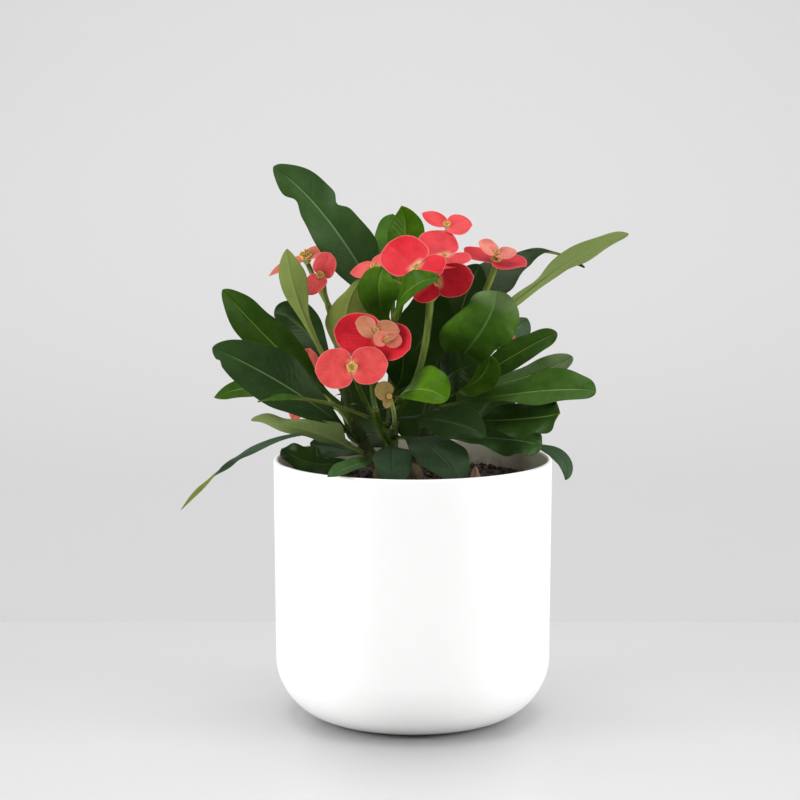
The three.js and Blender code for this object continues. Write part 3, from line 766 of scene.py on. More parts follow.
def make_soil_tree():
    shape = Shape("strewn soil", {
        "Lump height": "number", "Lump scale": "number", "Crumbs": "number",
        "Smallest crumb": "number", "Largest crumb": "number", "Seed": "whole", "Material": "material"})
    place = shape.place()
    x, y, z = place.parts()
    upward = shape.add("GeometryNodeInputNormal").parts()[2]
    top = z.rise(*TOP_FACE) * upward.rise(0.3, 0.8)
    lumps = shape.noise(place, shape.given("Lump scale"), 4.0) - 0.5
    rise = shape.vector(0.0, 0.0, lumps * shape.given("Lump height") * top)
    bed = shape.moved(shape.given("Before"), step=rise)
    inside = (x * x + y * y).math("LESS_THAN", CRUMB_REACH ** 2)
    spread = {"Mesh": bed, "Selection": inside * (upward * z).math("GREATER_THAN", CRUMB_LOWEST),
              "Density": shape.given("Crumbs"), "Seed": shape.given("Seed")}
    method = {"distribute_method": "RANDOM"}
    points = shape.add("GeometryNodeDistributePointsOnFaces", method, spread)
    grain = shape.add("GeometryNodeMeshIcoSphere", {}, {"Radius": 1.0, "Subdivisions": 2})
    grain_place = shape.place()
    dent = (shape.noise(grain_place, 1.3, 2.0) - 0.5) * 1.1
    grain = shape.moved(grain, grain_place * (1.0 + dent))
    share = shape.random(0.0, 1.0, 3) ** 3.0
    size = mix(shape.given("Smallest crumb"), shape.given("Largest crumb"), share)
    turn = shape.random((0, 0, 0), (6.3, 6.3, 6.3), 5)
    flat = shape.random((0.6, 0.5, 0.4), (1.2, 1.0, 0.8), 9)
    shape.finish(shape.copies(points, grain, Rotation=turn, Scale=size * flat), bed)
    return shape


soil_tree = make_soil_tree()
potting_soil = new_piece("potting_soil", turned("potting_soil", soil_profile(), 96))
grow(potting_soil, soil_tree, lump_height=3 * MM, lump_scale=55.0, crumbs=90000.0,
     smallest_crumb=0.5 * MM, largest_crumb=2.6 * MM, seed=4, material=SOIL)
settle(potting_soil)
hand_over(potting_soil, "soil")
print("soil faces:", len(potting_soil.data.polygons))

# %% [markdown]
# ## The bark chip
# A chip of bark stands in the soil. It is a flake: a block of many small faces
# whose section narrows to a ragged top, with layers that break at the edges.


# %% Bark chip
CHIP_PLACE = (33, -35, SOIL_TOP)
CHIP_SUNK = 1.5


def make_chip_tree():
    shape = Shape("bark flake", {
        "Foot": "point", "Height": "number", "Half width": "number", "Half thickness": "number",
        "Ragged": "number", "Material": "material"})
    sizes = {"Size": (2, 2, 1), "Vertices X": 18, "Vertices Y": 7, "Vertices Z": 34}
    block = shape.add("GeometryNodeMeshCube", {}, sizes)
    x, y, z = shape.place().parts()
    up = z + 0.5
    width = 1.0 - (up - 0.42) * (up - 0.42) * 1.25
    ragged = shape.noise(shape.place(), 2.6, 4.0) - 0.5
    layers = shape.noise(shape.place(), 7.0, 3.0, 0.6, (0.4, 2.0, 0.3)) - 0.5
    edge = 1.0 - x * x * 0.45
    half = shape.given("Half width")
    thick = shape.given("Half thickness")
    place = shape.vector(
        x * half * width + ragged * shape.given("Ragged"),
        y * thick * edge * (1.0 - up * 0.35) + layers * shape.given("Ragged"),
        up * shape.given("Height") * (1.0 - x * x * 0.28) + ragged * shape.given("Ragged") * 2.0 * up)
    shape.finish(shape.moved(block, shape.given("Foot") + place))
    return shape


chip = new_piece("chip_of_bark")
grow(chip, make_chip_tree(), foot=metres(CHIP_PLACE) - metres((0, 0, CHIP_SUNK)), height=13.8 * MM,
     half_width=3.7 * MM, half_thickness=1.5 * MM, ragged=1.1 * MM, material=BARK)
settle(chip)
hand_over(chip, "bark_chip")
print("chip faces:", len(chip.data.polygons))

# %% [markdown]
# ## Curves that carry the plant
# Branches, stalks and midribs are all one kind of curve: from a base, over the
# point halfway along, to an end. The same curve is worked out in Python for the
# feet of leaves and stalks, and in nodes for the shapes.


# %% Curves in Python and in nodes
class Arc:
    """A curve from a base to an end over the point halfway along it, in millimetres."""

    def __init__(self, base, half, end):
        self.base = Vector(base)
        self.end = Vector(end)
        self.control = Vector(half) * 2 - (self.base + self.end) / 2

    def at(self, t):
        return self.base * (1 - t) ** 2 + self.control * (2 * t * (1 - t)) + self.end * t ** 2

    def along(self, t):
        return ((self.control - self.base) * (1 - t) + (self.end - self.control) * t).normalized()

    def points(self):
        return {"start": self.base * MM, "middle": self.control * MM, "end": self.end * MM}


def node_curve(shape, t):
    """Place and direction at t on the curve that a tree's Start, Middle and End give."""
    start, middle, end = (shape.given(name) for name in ("Start", "Middle", "End"))
    back = 1.0 - t
    place = start * (back * back) + middle * (t * back * 2.0) + end * (t * t)
    along = ((middle - start) * back + (end - middle) * t).unit()
    return place, along


def square_to(along, wanted):
    """The wanted direction, turned square to the curve."""
    return (wanted - along * along.dot(wanted)).unit()


# %% [markdown]
# ## Stems and stalks
# A run is a round, slightly uneven tube along one curve, thicker at its foot.
# Several runs are joined by a voxel remesh, which rounds the forks as a living
# stem does.


# %% A run of stem or stalk
def make_run_tree():
    shape = Shape("stem run", {
        "Start": "point", "Middle": "point", "End": "point", "Foot radius": "number",
        "Top radius": "number", "Flare": "number", "Bumps": "number", "Material": "material"})
    tube = shape.tube(20, 48)
    x, y, z = shape.place().parts()
    t = z + 0.5
    place, along = node_curve(shape, t)
    side = square_to(along, shape.vector(1.0, 0.0, 0.15))
    other = along.cross(side)
    radius = mix(shape.given("Foot radius"), shape.given("Top radius"), t)
    flare = 1.0 + shape.given("Flare") * (t * -9.0).math("EXPONENT")
    bumps = (shape.noise(place, 170.0, 3.0) - 0.5) * shape.given("Bumps")
    wide = radius * flare + bumps
    spot = place + side * (x * wide) + other * (y * wide)
    shape.finish(shape.store(shape.moved(tube, spot), "zone", float(ZONE_STALK), "FLOAT"))
    return shape


def merge_runs(piece, voxel):
    remesh = piece.modifiers.new("one skin", "REMESH")
    remesh.mode = "VOXEL"
    remesh.voxel_size = voxel * MM
    remesh.use_smooth_shade = True
    smooth = piece.modifiers.new("even", "SMOOTH")
    smooth.factor = 0.5
    smooth.iterations = 3


RUN = make_run_tree()
BRANCH_FOOT = 3.8
BRANCH_TOP = 2.6
BRANCHES = {
    "left": Arc((-17, 6, 134), (-31, 4, 158), (-37, -3, 184)),
    "centre": Arc((-12, 0, 134), (-11, 4, 174), (-10, 8, 213)),
    "right": Arc((0, 8, 134), (13, 12, 172), (26, 12, 207)),
}


def branch_radius(at):
    return mix(BRANCH_FOOT, BRANCH_TOP, at)


def foot_on(branch, at, toward, sunk):
    """A foot just inside a branch, on the side that looks toward a point."""
    centre = branch.at(at)
    axis = branch.along(at)
    out = Vector(toward) - centre
    out = (out - axis * out.dot(axis)).normalized()
    return centre + out * (branch_radius(at) - sunk)


# %% [markdown]
# The stem is three branches from one woody crown. Its thorns grow straight out
# of the bark: a tree spreads points over the skin, puts a curved cone on each,
# and stores which of the points are thorn.


# %% The thorny stem
WOOD_ENDS = (0.15, 0.185)
THORNS_START = 0.136
CROWN_PLACE = (-8, 4, 0)
CROWN_SPREAD = (1.2, 1.0, 1.0, 1.0)
CROWN_STEP = 1.5


def make_thorn_tree():
    shape = Shape("bark and thorns", {
        "Rough": "number", "Spacing": "number", "Length": "number", "Highest": "number",
        "Seed": "whole", "Material": "material"})
    place = shape.place()
    normal = shape.add("GeometryNodeInputNormal")
    woody = 1.0 - place.parts()[2].rise(*WOOD_ENDS)
    grain = shape.noise(place, 210.0, 4.0, 0.6, (1.0, 1.0, 0.5)) - 0.5
    rough = normal * (grain * shape.given("Rough") * (0.25 + woody))
    bark = shape.store(shape.moved(shape.given("Before"), step=rough), "thorn", 0.0, "FLOAT")
    high = place.parts()[2].math("LESS_THAN", shape.given("Highest"))
    spread = {"Mesh": bark, "Selection": high * place.parts()[2].math("GREATER_THAN", THORNS_START),
              "Distance Min": shape.given("Spacing"), "Density Max": 60000.0, "Seed": shape.given("Seed")}
    method = {"distribute_method": "POISSON"}
    points = shape.add("GeometryNodeDistributePointsOnFaces", method, spread)
    sizes = {"Vertices": 8, "Side Segments": 6, "Radius Top": 0.0, "Radius Bottom": 0.13, "Depth": 1.0}
    cone = shape.add("GeometryNodeMeshCone", {"fill_type": "TRIANGLE_FAN"}, sizes)
    x, y, z = shape.place().parts()
    slim = 1.0 - z * z * 0.25
    bent = shape.vector(x * slim + z * z * 0.12, y * slim, z - 0.12)
    cone = shape.store(shape.moved(cone, bent), "thorn", 1.0, "FLOAT")
    size = shape.given("Length") * shape.random(0.55, 1.15, 8)
    shape.finish(shape.copies(points, cone, Rotation=points.output("Rotation"), Scale=size), bark)
    return shape


crown_profile = [(0, 127.5), (10, 127.5), (12, 130), (11.4, 133), (9.6, 136.5), (6, 138.6), (0, 139.2)]
crown = turned("thorny_stem", even_steps(crown_profile, CROWN_STEP), 40)
crown.transform(Matrix.Translation(metres(CROWN_PLACE)) @ Matrix.Diagonal(CROWN_SPREAD))
thorny_stem = new_piece("thorny_stem", crown)
for name, branch in BRANCHES.items():
    grow(thorny_stem, RUN, **branch.points(), foot_radius=BRANCH_FOOT * MM, top_radius=BRANCH_TOP * MM,
         flare=0.12, bumps=0.9 * MM, material=STEM)
merge_runs(thorny_stem, 0.6)
grow(thorny_stem, make_thorn_tree(), rough=1.5 * MM, spacing=7.0 * MM, length=5.0 * MM, highest=0.2,
     seed=11, material=STEM)
settle(thorny_stem)
hand_over(thorny_stem, "stem")
print("stem faces:", len(thorny_stem.data.polygons))

# %% [markdown]
# ## The leaves
# A leaf follows one rule: its midrib is a curve, its outline widens from a
# short foot to the blade and closes at the tip, its two halves stand up a
# little, and its edges wave. A tree turns a closed tube of faces into such a
# leaf: the height on the tube is the place along the midrib, and the way round
# is the place across the blade, first the upper side and then the lower one.
# So the leaf is closed and has a round rim without any join.


# %% The leaf tree
LEAF_AROUND = 56
LEAF_ALONG = 66
PETIOLE_THICKNESS = 1.7
RIB_DEPTH = 0.8
GROOVE_DEPTH = 0.35
LEAF_INPUTS = {
    "Start": "point", "Middle": "point", "End": "point", "Face": "point", "Tip face": "point",
    "Width": "number", "Foot width": "number", "Blade": "number", "Widest": "number",
    "Tip form": "number", "Fold": "number", "Curl": "point", "Wave": "number", "Waves": "number",
    "Phase": "number", "Ripple": "number", "Notch above": "point", "Notch below": "point",
    "Twist": "number", "Thickness": "number", "Look": "point", "Material": "material",
}


def make_leaf_tree():
    shape = Shape("leaf", LEAF_INPUTS)
    tube = shape.tube(LEAF_AROUND, LEAF_ALONG)
    x, y, z = shape.place().parts()
    u = 1.0 - (0.5 - z) ** 1.4
    round_x = x / (x * x + y * y + 0.000001) ** 0.5
    round_y = y / (x * x + y * y + 0.000001) ** 0.5
    v = round_x * 0.35 + round_x * round_x * round_x * 0.65
    upper = round_y.rise(-0.05, 0.05)
    tube = shape.store(tube, "blade", shape.vector(u, v, upper))
    tube = shape.store(tube, "leaf_look", shape.given("Look"))

    place, along = node_curve(shape, u)
    wanted = shape.given("Face") * (1.0 - u) + shape.given("Tip face") * u
    up = square_to(along, wanted)
    side = up.cross(along)
    turn = shape.given("Twist") * u.rise(0.4, 1.0)
    level, tilt = turn.math("COSINE"), turn.math("SINE")
    up, side = up * level + side * tilt, side * level - up * tilt

    foot = shape.given("Foot width") * 0.5
    share = (u - shape.given("Blade")) / (shape.given("Widest") - shape.given("Blade"))
    grown = share.rise(0.0, 1.0) ** 0.85
    closing = ((u - shape.given("Widest")) / (1.0 - shape.given("Widest"))).clamped()
    closed = (1.0 - closing * closing).math("MAXIMUM", 0.0008) ** shape.given("Tip form")
    half = mix(foot, shape.given("Width") * 0.5, grown) * closed

    above = v.math("GREATER_THAN", 0.0)
    cut = notch(shape.given("Notch above"), u) * above
    cut = cut + notch(shape.given("Notch below"), u) * (1.0 - above)
    cycle = (shape.given("Waves") * u + shape.given("Phase")) * (2 * math.pi)
    swing = (cycle + above * 2.1).math("SINE")
    ripple = 1.0 + shape.given("Ripple") * (cycle * 1.7 + above * 1.3).math("COSINE")
    half = half * (1.0 - cut) * mix(1.0, ripple, grown)

    off = v.math("ABSOLUTE")
    blade_only = u.rise(0.12, 0.4) * (1.0 - u.rise(0.9, 1.0) * 0.6)
    lift = shape.given("Fold") * (half - foot) * ((v * v + 0.012) ** 0.5 - 0.1)
    curl_above, curl_below, curl_from = shape.given("Curl").parts()
    curl = (curl_above * above + curl_below * (1.0 - above)) * (u.rise(curl_from, curl_from + 0.3) * off)
    lift = lift + half * off * (curl * 0.5 - curl ** 3.0 / 24.0)
    lift = lift + shape.given("Wave") * swing * (off ** 2.2) * blade_only
    thick = mix(PETIOLE_THICKNESS * MM, shape.given("Thickness"), u.rise(0.0, 0.3))
    body = thick * 0.5 * (1.0 - u.rise(0.6, 1.0) * 0.35)
    rib_down = off.bell(0.0, 0.09) * RIB_DEPTH * MM * (1.0 - u * 0.75) * (1.0 - upper)
    groove = off.bell(0.0, 0.06) * GROOVE_DEPTH * MM * upper * blade_only
    height = lift + round_y * body - rib_down - groove
    spot = place + side * (v * half * (1.0 - curl * curl / 6.0)) + up * height
    shape.finish(shape.moved(tube, spot))
    return shape


def notch(given, u):
    """How much of the half width is cut: given holds the place, the length and the depth."""
    at, length, depth = given.parts()
    return u.bell(at, length) * depth


LEAF_TREE = make_leaf_tree()

# %% [markdown]
# Each leaf has its own row, in millimetres: the branch and how far up it sits,
# the middle and tip of its midrib, its width, the way its upper side looks, and
# what sets it apart from the usual leaf. `tone` runs from old and dark (0) to
# young and bright (1), `dust` is the grey bloom together with painted sheen and
# painted silvery streaks, `pale` lightens the underside and paints a highlight
# on the tip of the upper side. `blade` and `widest` are places along the midrib,
# and a notch is its place, its length and the share of the half width that it
# takes.


# %% The leaves' rows
NO_NOTCH = (0.5, 1.0, 0.0)
USUAL_LEAF = {
    "foot": 2.6, "blade": 0.12, "widest": 0.62, "tip_form": 0.7, "fold": 0.18, "curl": (0.0, 0.0, 0.1),
    "wave": 0.6, "waves": 2.4, "twist": 0.0, "notch_above": NO_NOTCH, "notch_below": NO_NOTCH,
    "tone": 0.0, "dust": 0.0, "pale": 0.0,
}


def leaf(number, on, at, mid, tip, width, face, **more):
    own = {"number": number, "on": on, "at": at, "mid": mid, "tip": tip, "width": width, "face": face}
    return {**USUAL_LEAF, "tip_face": face, **own, **more}


LEAVES = [
    leaf(1, "centre", 1.0, (-43, 6, 267), (-75, -2, 300), 31, (0.5, -1, 0.3), blade=0.03, widest=0.36,
         tip_form=0.55, tone=0.36, dust=0.36, wave=1.6, notch_above=(0.76, 0.06, 0.42),
         notch_below=(0.58, 0.035, 0.28)),
    leaf(2, "centre", 0.96, (-12, 34, 253), (-11, 44, 273), 18, (-0.2, -1, 0.4), tip_form=1.0,
         tone=0.82, dust=0.3),
    leaf(3, "centre", 0.9, (-4, 26, 252), (-6, 24, 278), 21, (0.1, -1, 0.1), tip_form=0.9, tone=1.0,
         fold=0.45),
    leaf(4, "left", 0.72, (-71.5, -6, 201), (-102, -14, 235), 26, (0.2, -1, 0.6), tone=0.42, wave=1.2,
         tip_form=0.6, widest=0.56, notch_below=(0.72, 0.12, 0.2)),
    leaf(5, "left", 0.84, (-60, 34, 208.5), (-78, 50, 215), 24, (0.1, -1, 0.3)),
    leaf(6, "left", 0.88, (-60, -14, 226), (-67, -16, 257), 15.5, (0.3, 1, 0.2), blade=0.26,
         widest=0.68, tip_form=0.9, tone=0.7, pale=0.3, fold=0.25, foot=2.8,
         notch_above=(0.42, 0.12, 0.35), dust=0.15),
    leaf(7, "left", 0.95, (-36, -14, 221), (-25.4, -18, 242), 26, (0.35, 0.9, 0.2), widest=0.4,
         tip_form=1.3, tone=0.5, pale=0.1, curl=(0.2, 0.2, 0.1), notch_below=(0.75, 0.22, 0.5),
         dust=0.15),
    leaf(8, "centre", 0.92, (-18, -22, 231), (-16, -28, 248), 22, (0, -1, 0.5), tone=0.87, dust=0.1,
         fold=0.3),
    leaf(9, "centre", 0.97, (-5, -42, 234), (13.5, -57, 245.5), 18, (-0.5, -1, 0.7), widest=0.5,
         tone=0.68, fold=0.35),
    leaf(10, "left", 0.36, (-63, -24, 181), (-106, -34, 206), 32, (0.2, -1, 0.6), tip_form=0.6,
         tone=0.2, dust=0.22, wave=1.0, notch_above=(0.94, 0.014, 0.25)),
    leaf(11, "left", 0.62, (-74, 38, 175.5), (-113, 56, 168), 16, (0, -0.8, 0.8), tip_form=0.8,
         widest=0.7, tone=0.55),
    leaf(12, "centre", 0.31, (-50, -38, 178), (-81, -56, 180), 13, (0, -0.1, 1), tip_form=1.0,
         tone=0.6),
    leaf(13, "left", 0.24, (-61, -13, 160.5), (-87, -20, 165.5), 27, (0.1, 0.8, 0.8), widest=0.3,
         tip_form=0.6, tone=0.4, pale=0.8, wave=1.6, waves=1.6, notch_above=(0.66, 0.18, 0.8),
         notch_below=(0.6, 0.5, 0.4), dust=0.15),
    leaf(14, "left", 0.46, (-86.7, 34, 142.5), (-132, 50, 104), 4.6, (0.2, -0.8, 0.8), tip_form=0.7,
         widest=0.7, blade=0.1, tone=0.1, dust=1.0, pale=0.05, wave=0.5, waves=2.5, twist=3.1,
         notch_above=(0.62, 0.05, 0.45), notch_below=(0.62, 0.05, 0.45)),
    leaf(15, "left", 0.18, (-50, -24, 142), (-71, -14, 149), 18, (0, -0.9, 0.8), wave=1.8, waves=3.0,
         curl=(0.6, 0.6, 0.5)),
    leaf(16, "left", 0.2, (-40, 16, 144), (-57, 20, 147), 17, (0, -0.8, 1), dust=0.3),
    leaf(17, "centre", 0.12, (-29, -50, 146), (-44, -76, 144), 10, (0.4, -0.3, 1), tone=0.5, dust=0.5,
         fold=0.5),
    leaf(18, "centre", 0.16, (-11, -40, 150), (-10, -58, 135), 21, (0, -0.8, 1), tip_form=0.5,
         dust=0.6),
    leaf(19, "centre", 0.24, (9, -39, 153), (25, -62, 137), 28, (0.2, -0.8, 1), dust=0.3),
    leaf(20, "centre", 0.36, (18, -32, 166), (38, -48, 160), 22, (-0.2, -1, 0.7), tip_form=0.9,
         dust=0.15, curl=(0.3, 0.9, 0.6)),
    leaf(21, "centre", 0.46, (1, -44, 184.8), (18, -59, 182), 26, (-0.1, -1, 0.6), tip_form=0.5,
         tone=0.92, fold=0.3, curl=(0.1, 0.8, 0.1)),
    leaf(22, "right", 0.62, (21.5, -16, 190.5), (35, -24, 196), 22, (0, -1, 0.3), blade=0.05,
         widest=0.5),
    leaf(23, "right", 0.58, (34, 3, 183), (42.5, -2, 198), 21, (-0.3, -1, 0.3), tip_form=0.5, tone=0.82,
         dust=0.05),
    leaf(24, "right", 0.74, (37, -18, 214), (44.5, -24, 235), 41, (-0.2, -0.3, -1),
         tip_face=(-0.1, -1, 0.3), blade=0.02, widest=0.36, tip_form=0.48, tone=0.87, dust=0.2,
         pale=0.18, fold=0.2, wave=3.2, waves=2.2, curl=(0.2, 0.2, 0.05), notch_above=(0.7, 0.14, 0.26),
         notch_below=(0.3, 0.3, 0.4)),
    leaf(25, "right", 0.82, (50, 55, 201), (66, 72, 212), 19, (0.2, -0.8, 1), tone=0.2, dust=0.7),
    leaf(26, "right", 0.5, (54, 10, 196), (79, 12, 209.5), 17, (-0.4, -1, 0.7), blade=0.1, widest=0.5,
         tip_form=0.5, tone=0.52, dust=0.05),
    leaf(27, "right", 0.56, (61, 34, 181.5), (90, 42, 193), 18, (0.1, -0.6, 1), widest=0.7,
         tip_form=0.5, tone=0.4, pale=0.15),
    leaf(28, "right", 0.46, (62, -22, 180.5), (97, -32, 183), 25, (0.1, -0.9, 1), tip_form=0.5,
         tone=0.66, dust=0.2, wave=1.2, fold=0.35),
    leaf(29, "right", 0.34, (57, -26, 166.5), (77, -42, 172), 30, (0, -1, 0.9), tone=0.26, dust=0.1,
         wave=2.4, waves=3.5),
    leaf(30, "right", 0.24, (48, -20, 155), (69, -24, 152), 20, (0.1, -1, 0.7), tone=0.5, dust=0.4,
         wave=2.4, waves=3.0),
    leaf(31, "right", 0.3, (71.5, 28, 143.8), (85.5, 24, 125.5), 10, (0.3, -0.3, 1),
         tip_face=(0.5, -1, 0.2), blade=0.45, widest=0.72, tip_form=0.8, tone=0.15, dust=0.8),
    leaf(32, "right", 0.88, (76, 6, 243), (116, -4, 264.5), 13.5, (-0.2, 0.9, 0.6), blade=0.2,
         widest=0.66, tone=0.5, pale=0.6, wave=1.0, foot=6.2, tip_form=0.7,
         notch_above=(0.58, 0.07, 0.3), notch_below=(0.42, 0.07, 0.4), dust=0.15),
    leaf(33, "right", 1.0, (58, 46, 248), (99, 72, 241), 30, (-0.2, -1, 0.9), blade=0.08, widest=0.3,
         tip_form=0.9, dust=0.16, wave=1.6, waves=2.6, notch_above=(0.66, 0.3, 0.85),
         notch_below=(0.8, 0.26, 0.95)),
    leaf(34, "right", 0.84, (28, 25, 224), (37, 26, 246), 22, (0, -1, 0.5), tone=0.15, dust=0.15),
    leaf(35, "centre", 0.7, (7, 12, 210), (8, 17, 236), 33, (0, -1, 0.3), widest=0.45),
    leaf(36, "right", 0.12, (6, 30, 162), (17, 48, 198), 39, (0.1, -1, 0.3), blade=0.03, widest=0.4),
    leaf(37, "right", 0.28, (35, 40, 158), (49, 62, 184), 35, (0, -1, 0.5)),
    leaf(38, "centre", 0.16, (-22, 25, 159), (-36, 44, 188), 33, (-0.1, -1, 0.3), blade=0.03,
         widest=0.42),
    leaf(39, "centre", 0.56, (-6, -8, 190), (-6, -15, 209), 19, (0.1, -1, 0.2), blade=0.05, tone=0.1),
]
print("leaf rows:", len(LEAVES))

# %% [markdown]
# Now each row grows a leaf. Its foot starts just inside the skin of the branch,
# on the side that the leaf leans to, as a real leaf base does.


# %% The leaves
LEAF_THICKNESS = 1.1
FOOT_SUNK = 1.0
PHASE_STEP = 0.37
AS_GIVEN = ("blade", "widest", "tip_form", "fold", "curl", "waves", "twist", "notch_above", "notch_below")


def make_leaf(row):
    piece = new_piece(f"blade_{row['number']:02d}")
    foot = foot_on(BRANCHES[row["on"]], row["at"], row["mid"], FOOT_SUNK)
    arc = Arc(foot, row["mid"], row["tip"])
    face, tip_face = (Vector(row[key]).normalized() for key in ("face", "tip_face"))
    grow(piece, LEAF_TREE, **arc.points(), **{key: row[key] for key in AS_GIVEN}, face=face,
         tip_face=tip_face, width=row["width"] * MM, foot_width=row["foot"] * MM, wave=row["wave"] * MM,
         phase=row["number"] * PHASE_STEP, ripple=0.02, thickness=LEAF_THICKNESS * MM,
         look=(row["tone"], row["dust"], row["pale"]), material=LEAF)
    settle(piece)
    hand_over(piece, f"leaf_{row['number']:02d}")
    return len(piece.data.polygons)


leaf_faces = [make_leaf(row) for row in LEAVES]
print("leaves:", len(leaf_faces), "with", leaf_faces[0], "faces each")

# %% [markdown]
# ## The flowers
# What looks like petals are two bracts: round, a little dished, with a small
# point at the far end. One tree makes a bract from a sphere pressed flat, so it
# is closed and its rim is round. Another tree makes the heart: a cup with five
# glands round its rim and a tuft of anthers.


# %% The bract tree
THROAT_RADIUS = 2.6
THROAT_DEPTH = 1.6


def make_bract_tree():
    shape = Shape("bract", {
        "Throat": "point", "Look": "point", "Away": "point", "Length": "number", "Width": "number",
        "Rise": "number", "Dish": "number", "Ruffle": "number", "Phase": "number", "Point": "number",
        "Thickness": "number", "Tint": "point", "Material": "material"})
    ball = shape.ball(48, 26)
    x, y, z = shape.place().parts()
    rim = (x * x + y * y).math("MINIMUM", 1.0) ** 0.5
    angle = y.math("ARCTAN2", x)
    reach = 1.0 + shape.given("Point") * angle.bell(0.0, 0.16) * rim ** 4.0
    turned_off = angle.math("ABSOLUTE")
    lobes = 1.0 + turned_off.bell(2.3, 0.45) * 0.12 * rim - turned_off.bell(math.pi, 0.3) * 0.06 * rim
    length = shape.given("Length")
    out = length * 0.5 * (0.94 + x * reach * lobes)
    across = shape.given("Width") * 0.5 * y * lobes
    share = out / length
    ball = shape.store(ball, "petal", shape.vector(share, y * 0.5, rim))
    ball = shape.store(ball, "upper", z.rise(-0.1, 0.1), "FLOAT")
    ball = shape.store(ball, "zone", float(ZONE_BRACT), "FLOAT")
    ball = shape.store(ball, "tint", shape.given("Tint"))
    wave = (angle * 3.0 + shape.given("Phase")).math("SINE") * shape.given("Ruffle") * rim ** 3.0
    crease = y.bell(0.0, 0.13) * length * -0.02 * share.rise(0.1, 0.5)
    throat = (out * out + across * across) ** 0.5
    sunk = throat.bell(0.0, THROAT_RADIUS * MM) * -THROAT_DEPTH * MM
    dish = shape.given("Dish") * length * rim * rim
    height = shape.given("Rise") * out + dish + wave + crease + sunk
    body = z * shape.given("Thickness") * 0.5
    look = shape.given("Look").unit()
    away = square_to(look, shape.given("Away"))
    side = look.cross(away)
    spot = shape.given("Throat") + away * out + side * across + look * (height + body)
    shape.finish(shape.moved(ball, spot))
    return shape


BRACT = make_bract_tree()


# %% The heart tree
GLANDS = 5
GLAND_RING = 2.45
ANTHERS = 8
TUFT_RADIUS = 0.85


def make_heart_tree():
    shape = Shape("flower heart", {
        "Throat": "point", "Look": "point", "Size": "number", "Seed": "whole", "Tint": "point",
        "Material": "material"})
    ball = shape.ball(28, 24)
    x, y, z = shape.place().parts()
    round_off = (x * x + y * y + 0.000001) ** 0.5
    share = 1.0 - z.math("ARCCOSINE") / math.pi
    outside = share.rise(0.0, 0.62)
    inside = (share - 0.62).math("MAXIMUM", 0.0) / 0.38
    radius = (share * 2.6).math("MINIMUM", 1.0) ** 0.6 * (1.6 + outside * 1.1) * (1.0 - inside)
    level = outside * 6.0 - 4.6 - inside.rise(0.0, 1.0) * 1.6
    cup_place = shape.vector(x / round_off * radius, y / round_off * radius, level) * MM
    cup = shape.store(shape.moved(ball, cup_place), "zone", float(ZONE_CUP), "FLOAT")

    pad = {"Geometry": shape.ball(12, 8, 1.0 * MM), "Scale": (0.62, 1.05, 0.42)}
    pad = shape.add("GeometryNodeTransform", {}, pad)
    pad = shape.store(pad, "zone", float(ZONE_GLAND), "FLOAT")
    ring = shape.raised(shape.ring(GLANDS, GLAND_RING * MM), 1.35 * MM)
    px, py = shape.place().parts()[:2]
    turn = shape.vector(0.0, 0.35, py.math("ARCTAN2", px))
    pads = shape.copies(ring, pad, Rotation=turn)

    sizes = {"Vertices": 6, "Radius": 0.16 * MM, "Depth": 2.8 * MM}
    thread = shape.raised(shape.add("GeometryNodeMeshCylinder", {}, sizes), 1.1 * MM)
    tip = shape.raised(shape.ball(8, 6, 0.46 * MM), 2.6 * MM)
    anther = shape.add("GeometryNodeJoinGeometry", {}, {0: [thread, tip]})
    anther = shape.store(anther, "zone", float(ZONE_ANTHER), "FLOAT")
    tuft = shape.ring(ANTHERS, TUFT_RADIUS * MM)
    tilt = shape.place() * 520.0 + (0.0, 0.0, 1.0)
    tilt = tilt + shape.random((-0.3, -0.3, 0.0), (0.3, 0.3, 0.3), shape.given("Seed"))
    lean = shape.add("FunctionNodeAlignRotationToVector", {"axis": "Z"}, {"Vector": tilt})
    anthers = shape.copies(tuft, anther, Rotation=lean)

    heart = shape.add("GeometryNodeJoinGeometry", {}, {0: [cup, pads, anthers]})
    heart = shape.add("GeometryNodeRealizeInstances", {}, {0: heart})
    heart = shape.store(heart, "tint", shape.given("Tint"))
    hx, hy, hz = (shape.place() * shape.given("Size")).parts()
    look = shape.given("Look").unit()
    side = square_to(look, shape.vector(1.0, 0.3, 0.2))
    spot = shape.given("Throat") + side * hx + look.cross(side) * hy + look * hz
    shape.finish(shape.moved(heart, spot))
    return shape


HEART = make_heart_tree()

# %% [markdown]
# Each flower's row has its throat, the way it looks, its two bracts (the way
# each spreads, its length, width and rise) and its tint: pale, dried, and painted shade.
# Some flowers carry younger ones in their throat, on short necks: a row of
# `young` has a place from the throat, a size, a look and a tint. `own` is a
# thin stalk of the flower's own: its branch, where, its middle and its radii.


# %% The flowers' rows
def flower(number, at, look, bracts, **more):
    return {"number": number, "at": at, "look": look, "bracts": bracts, **more}


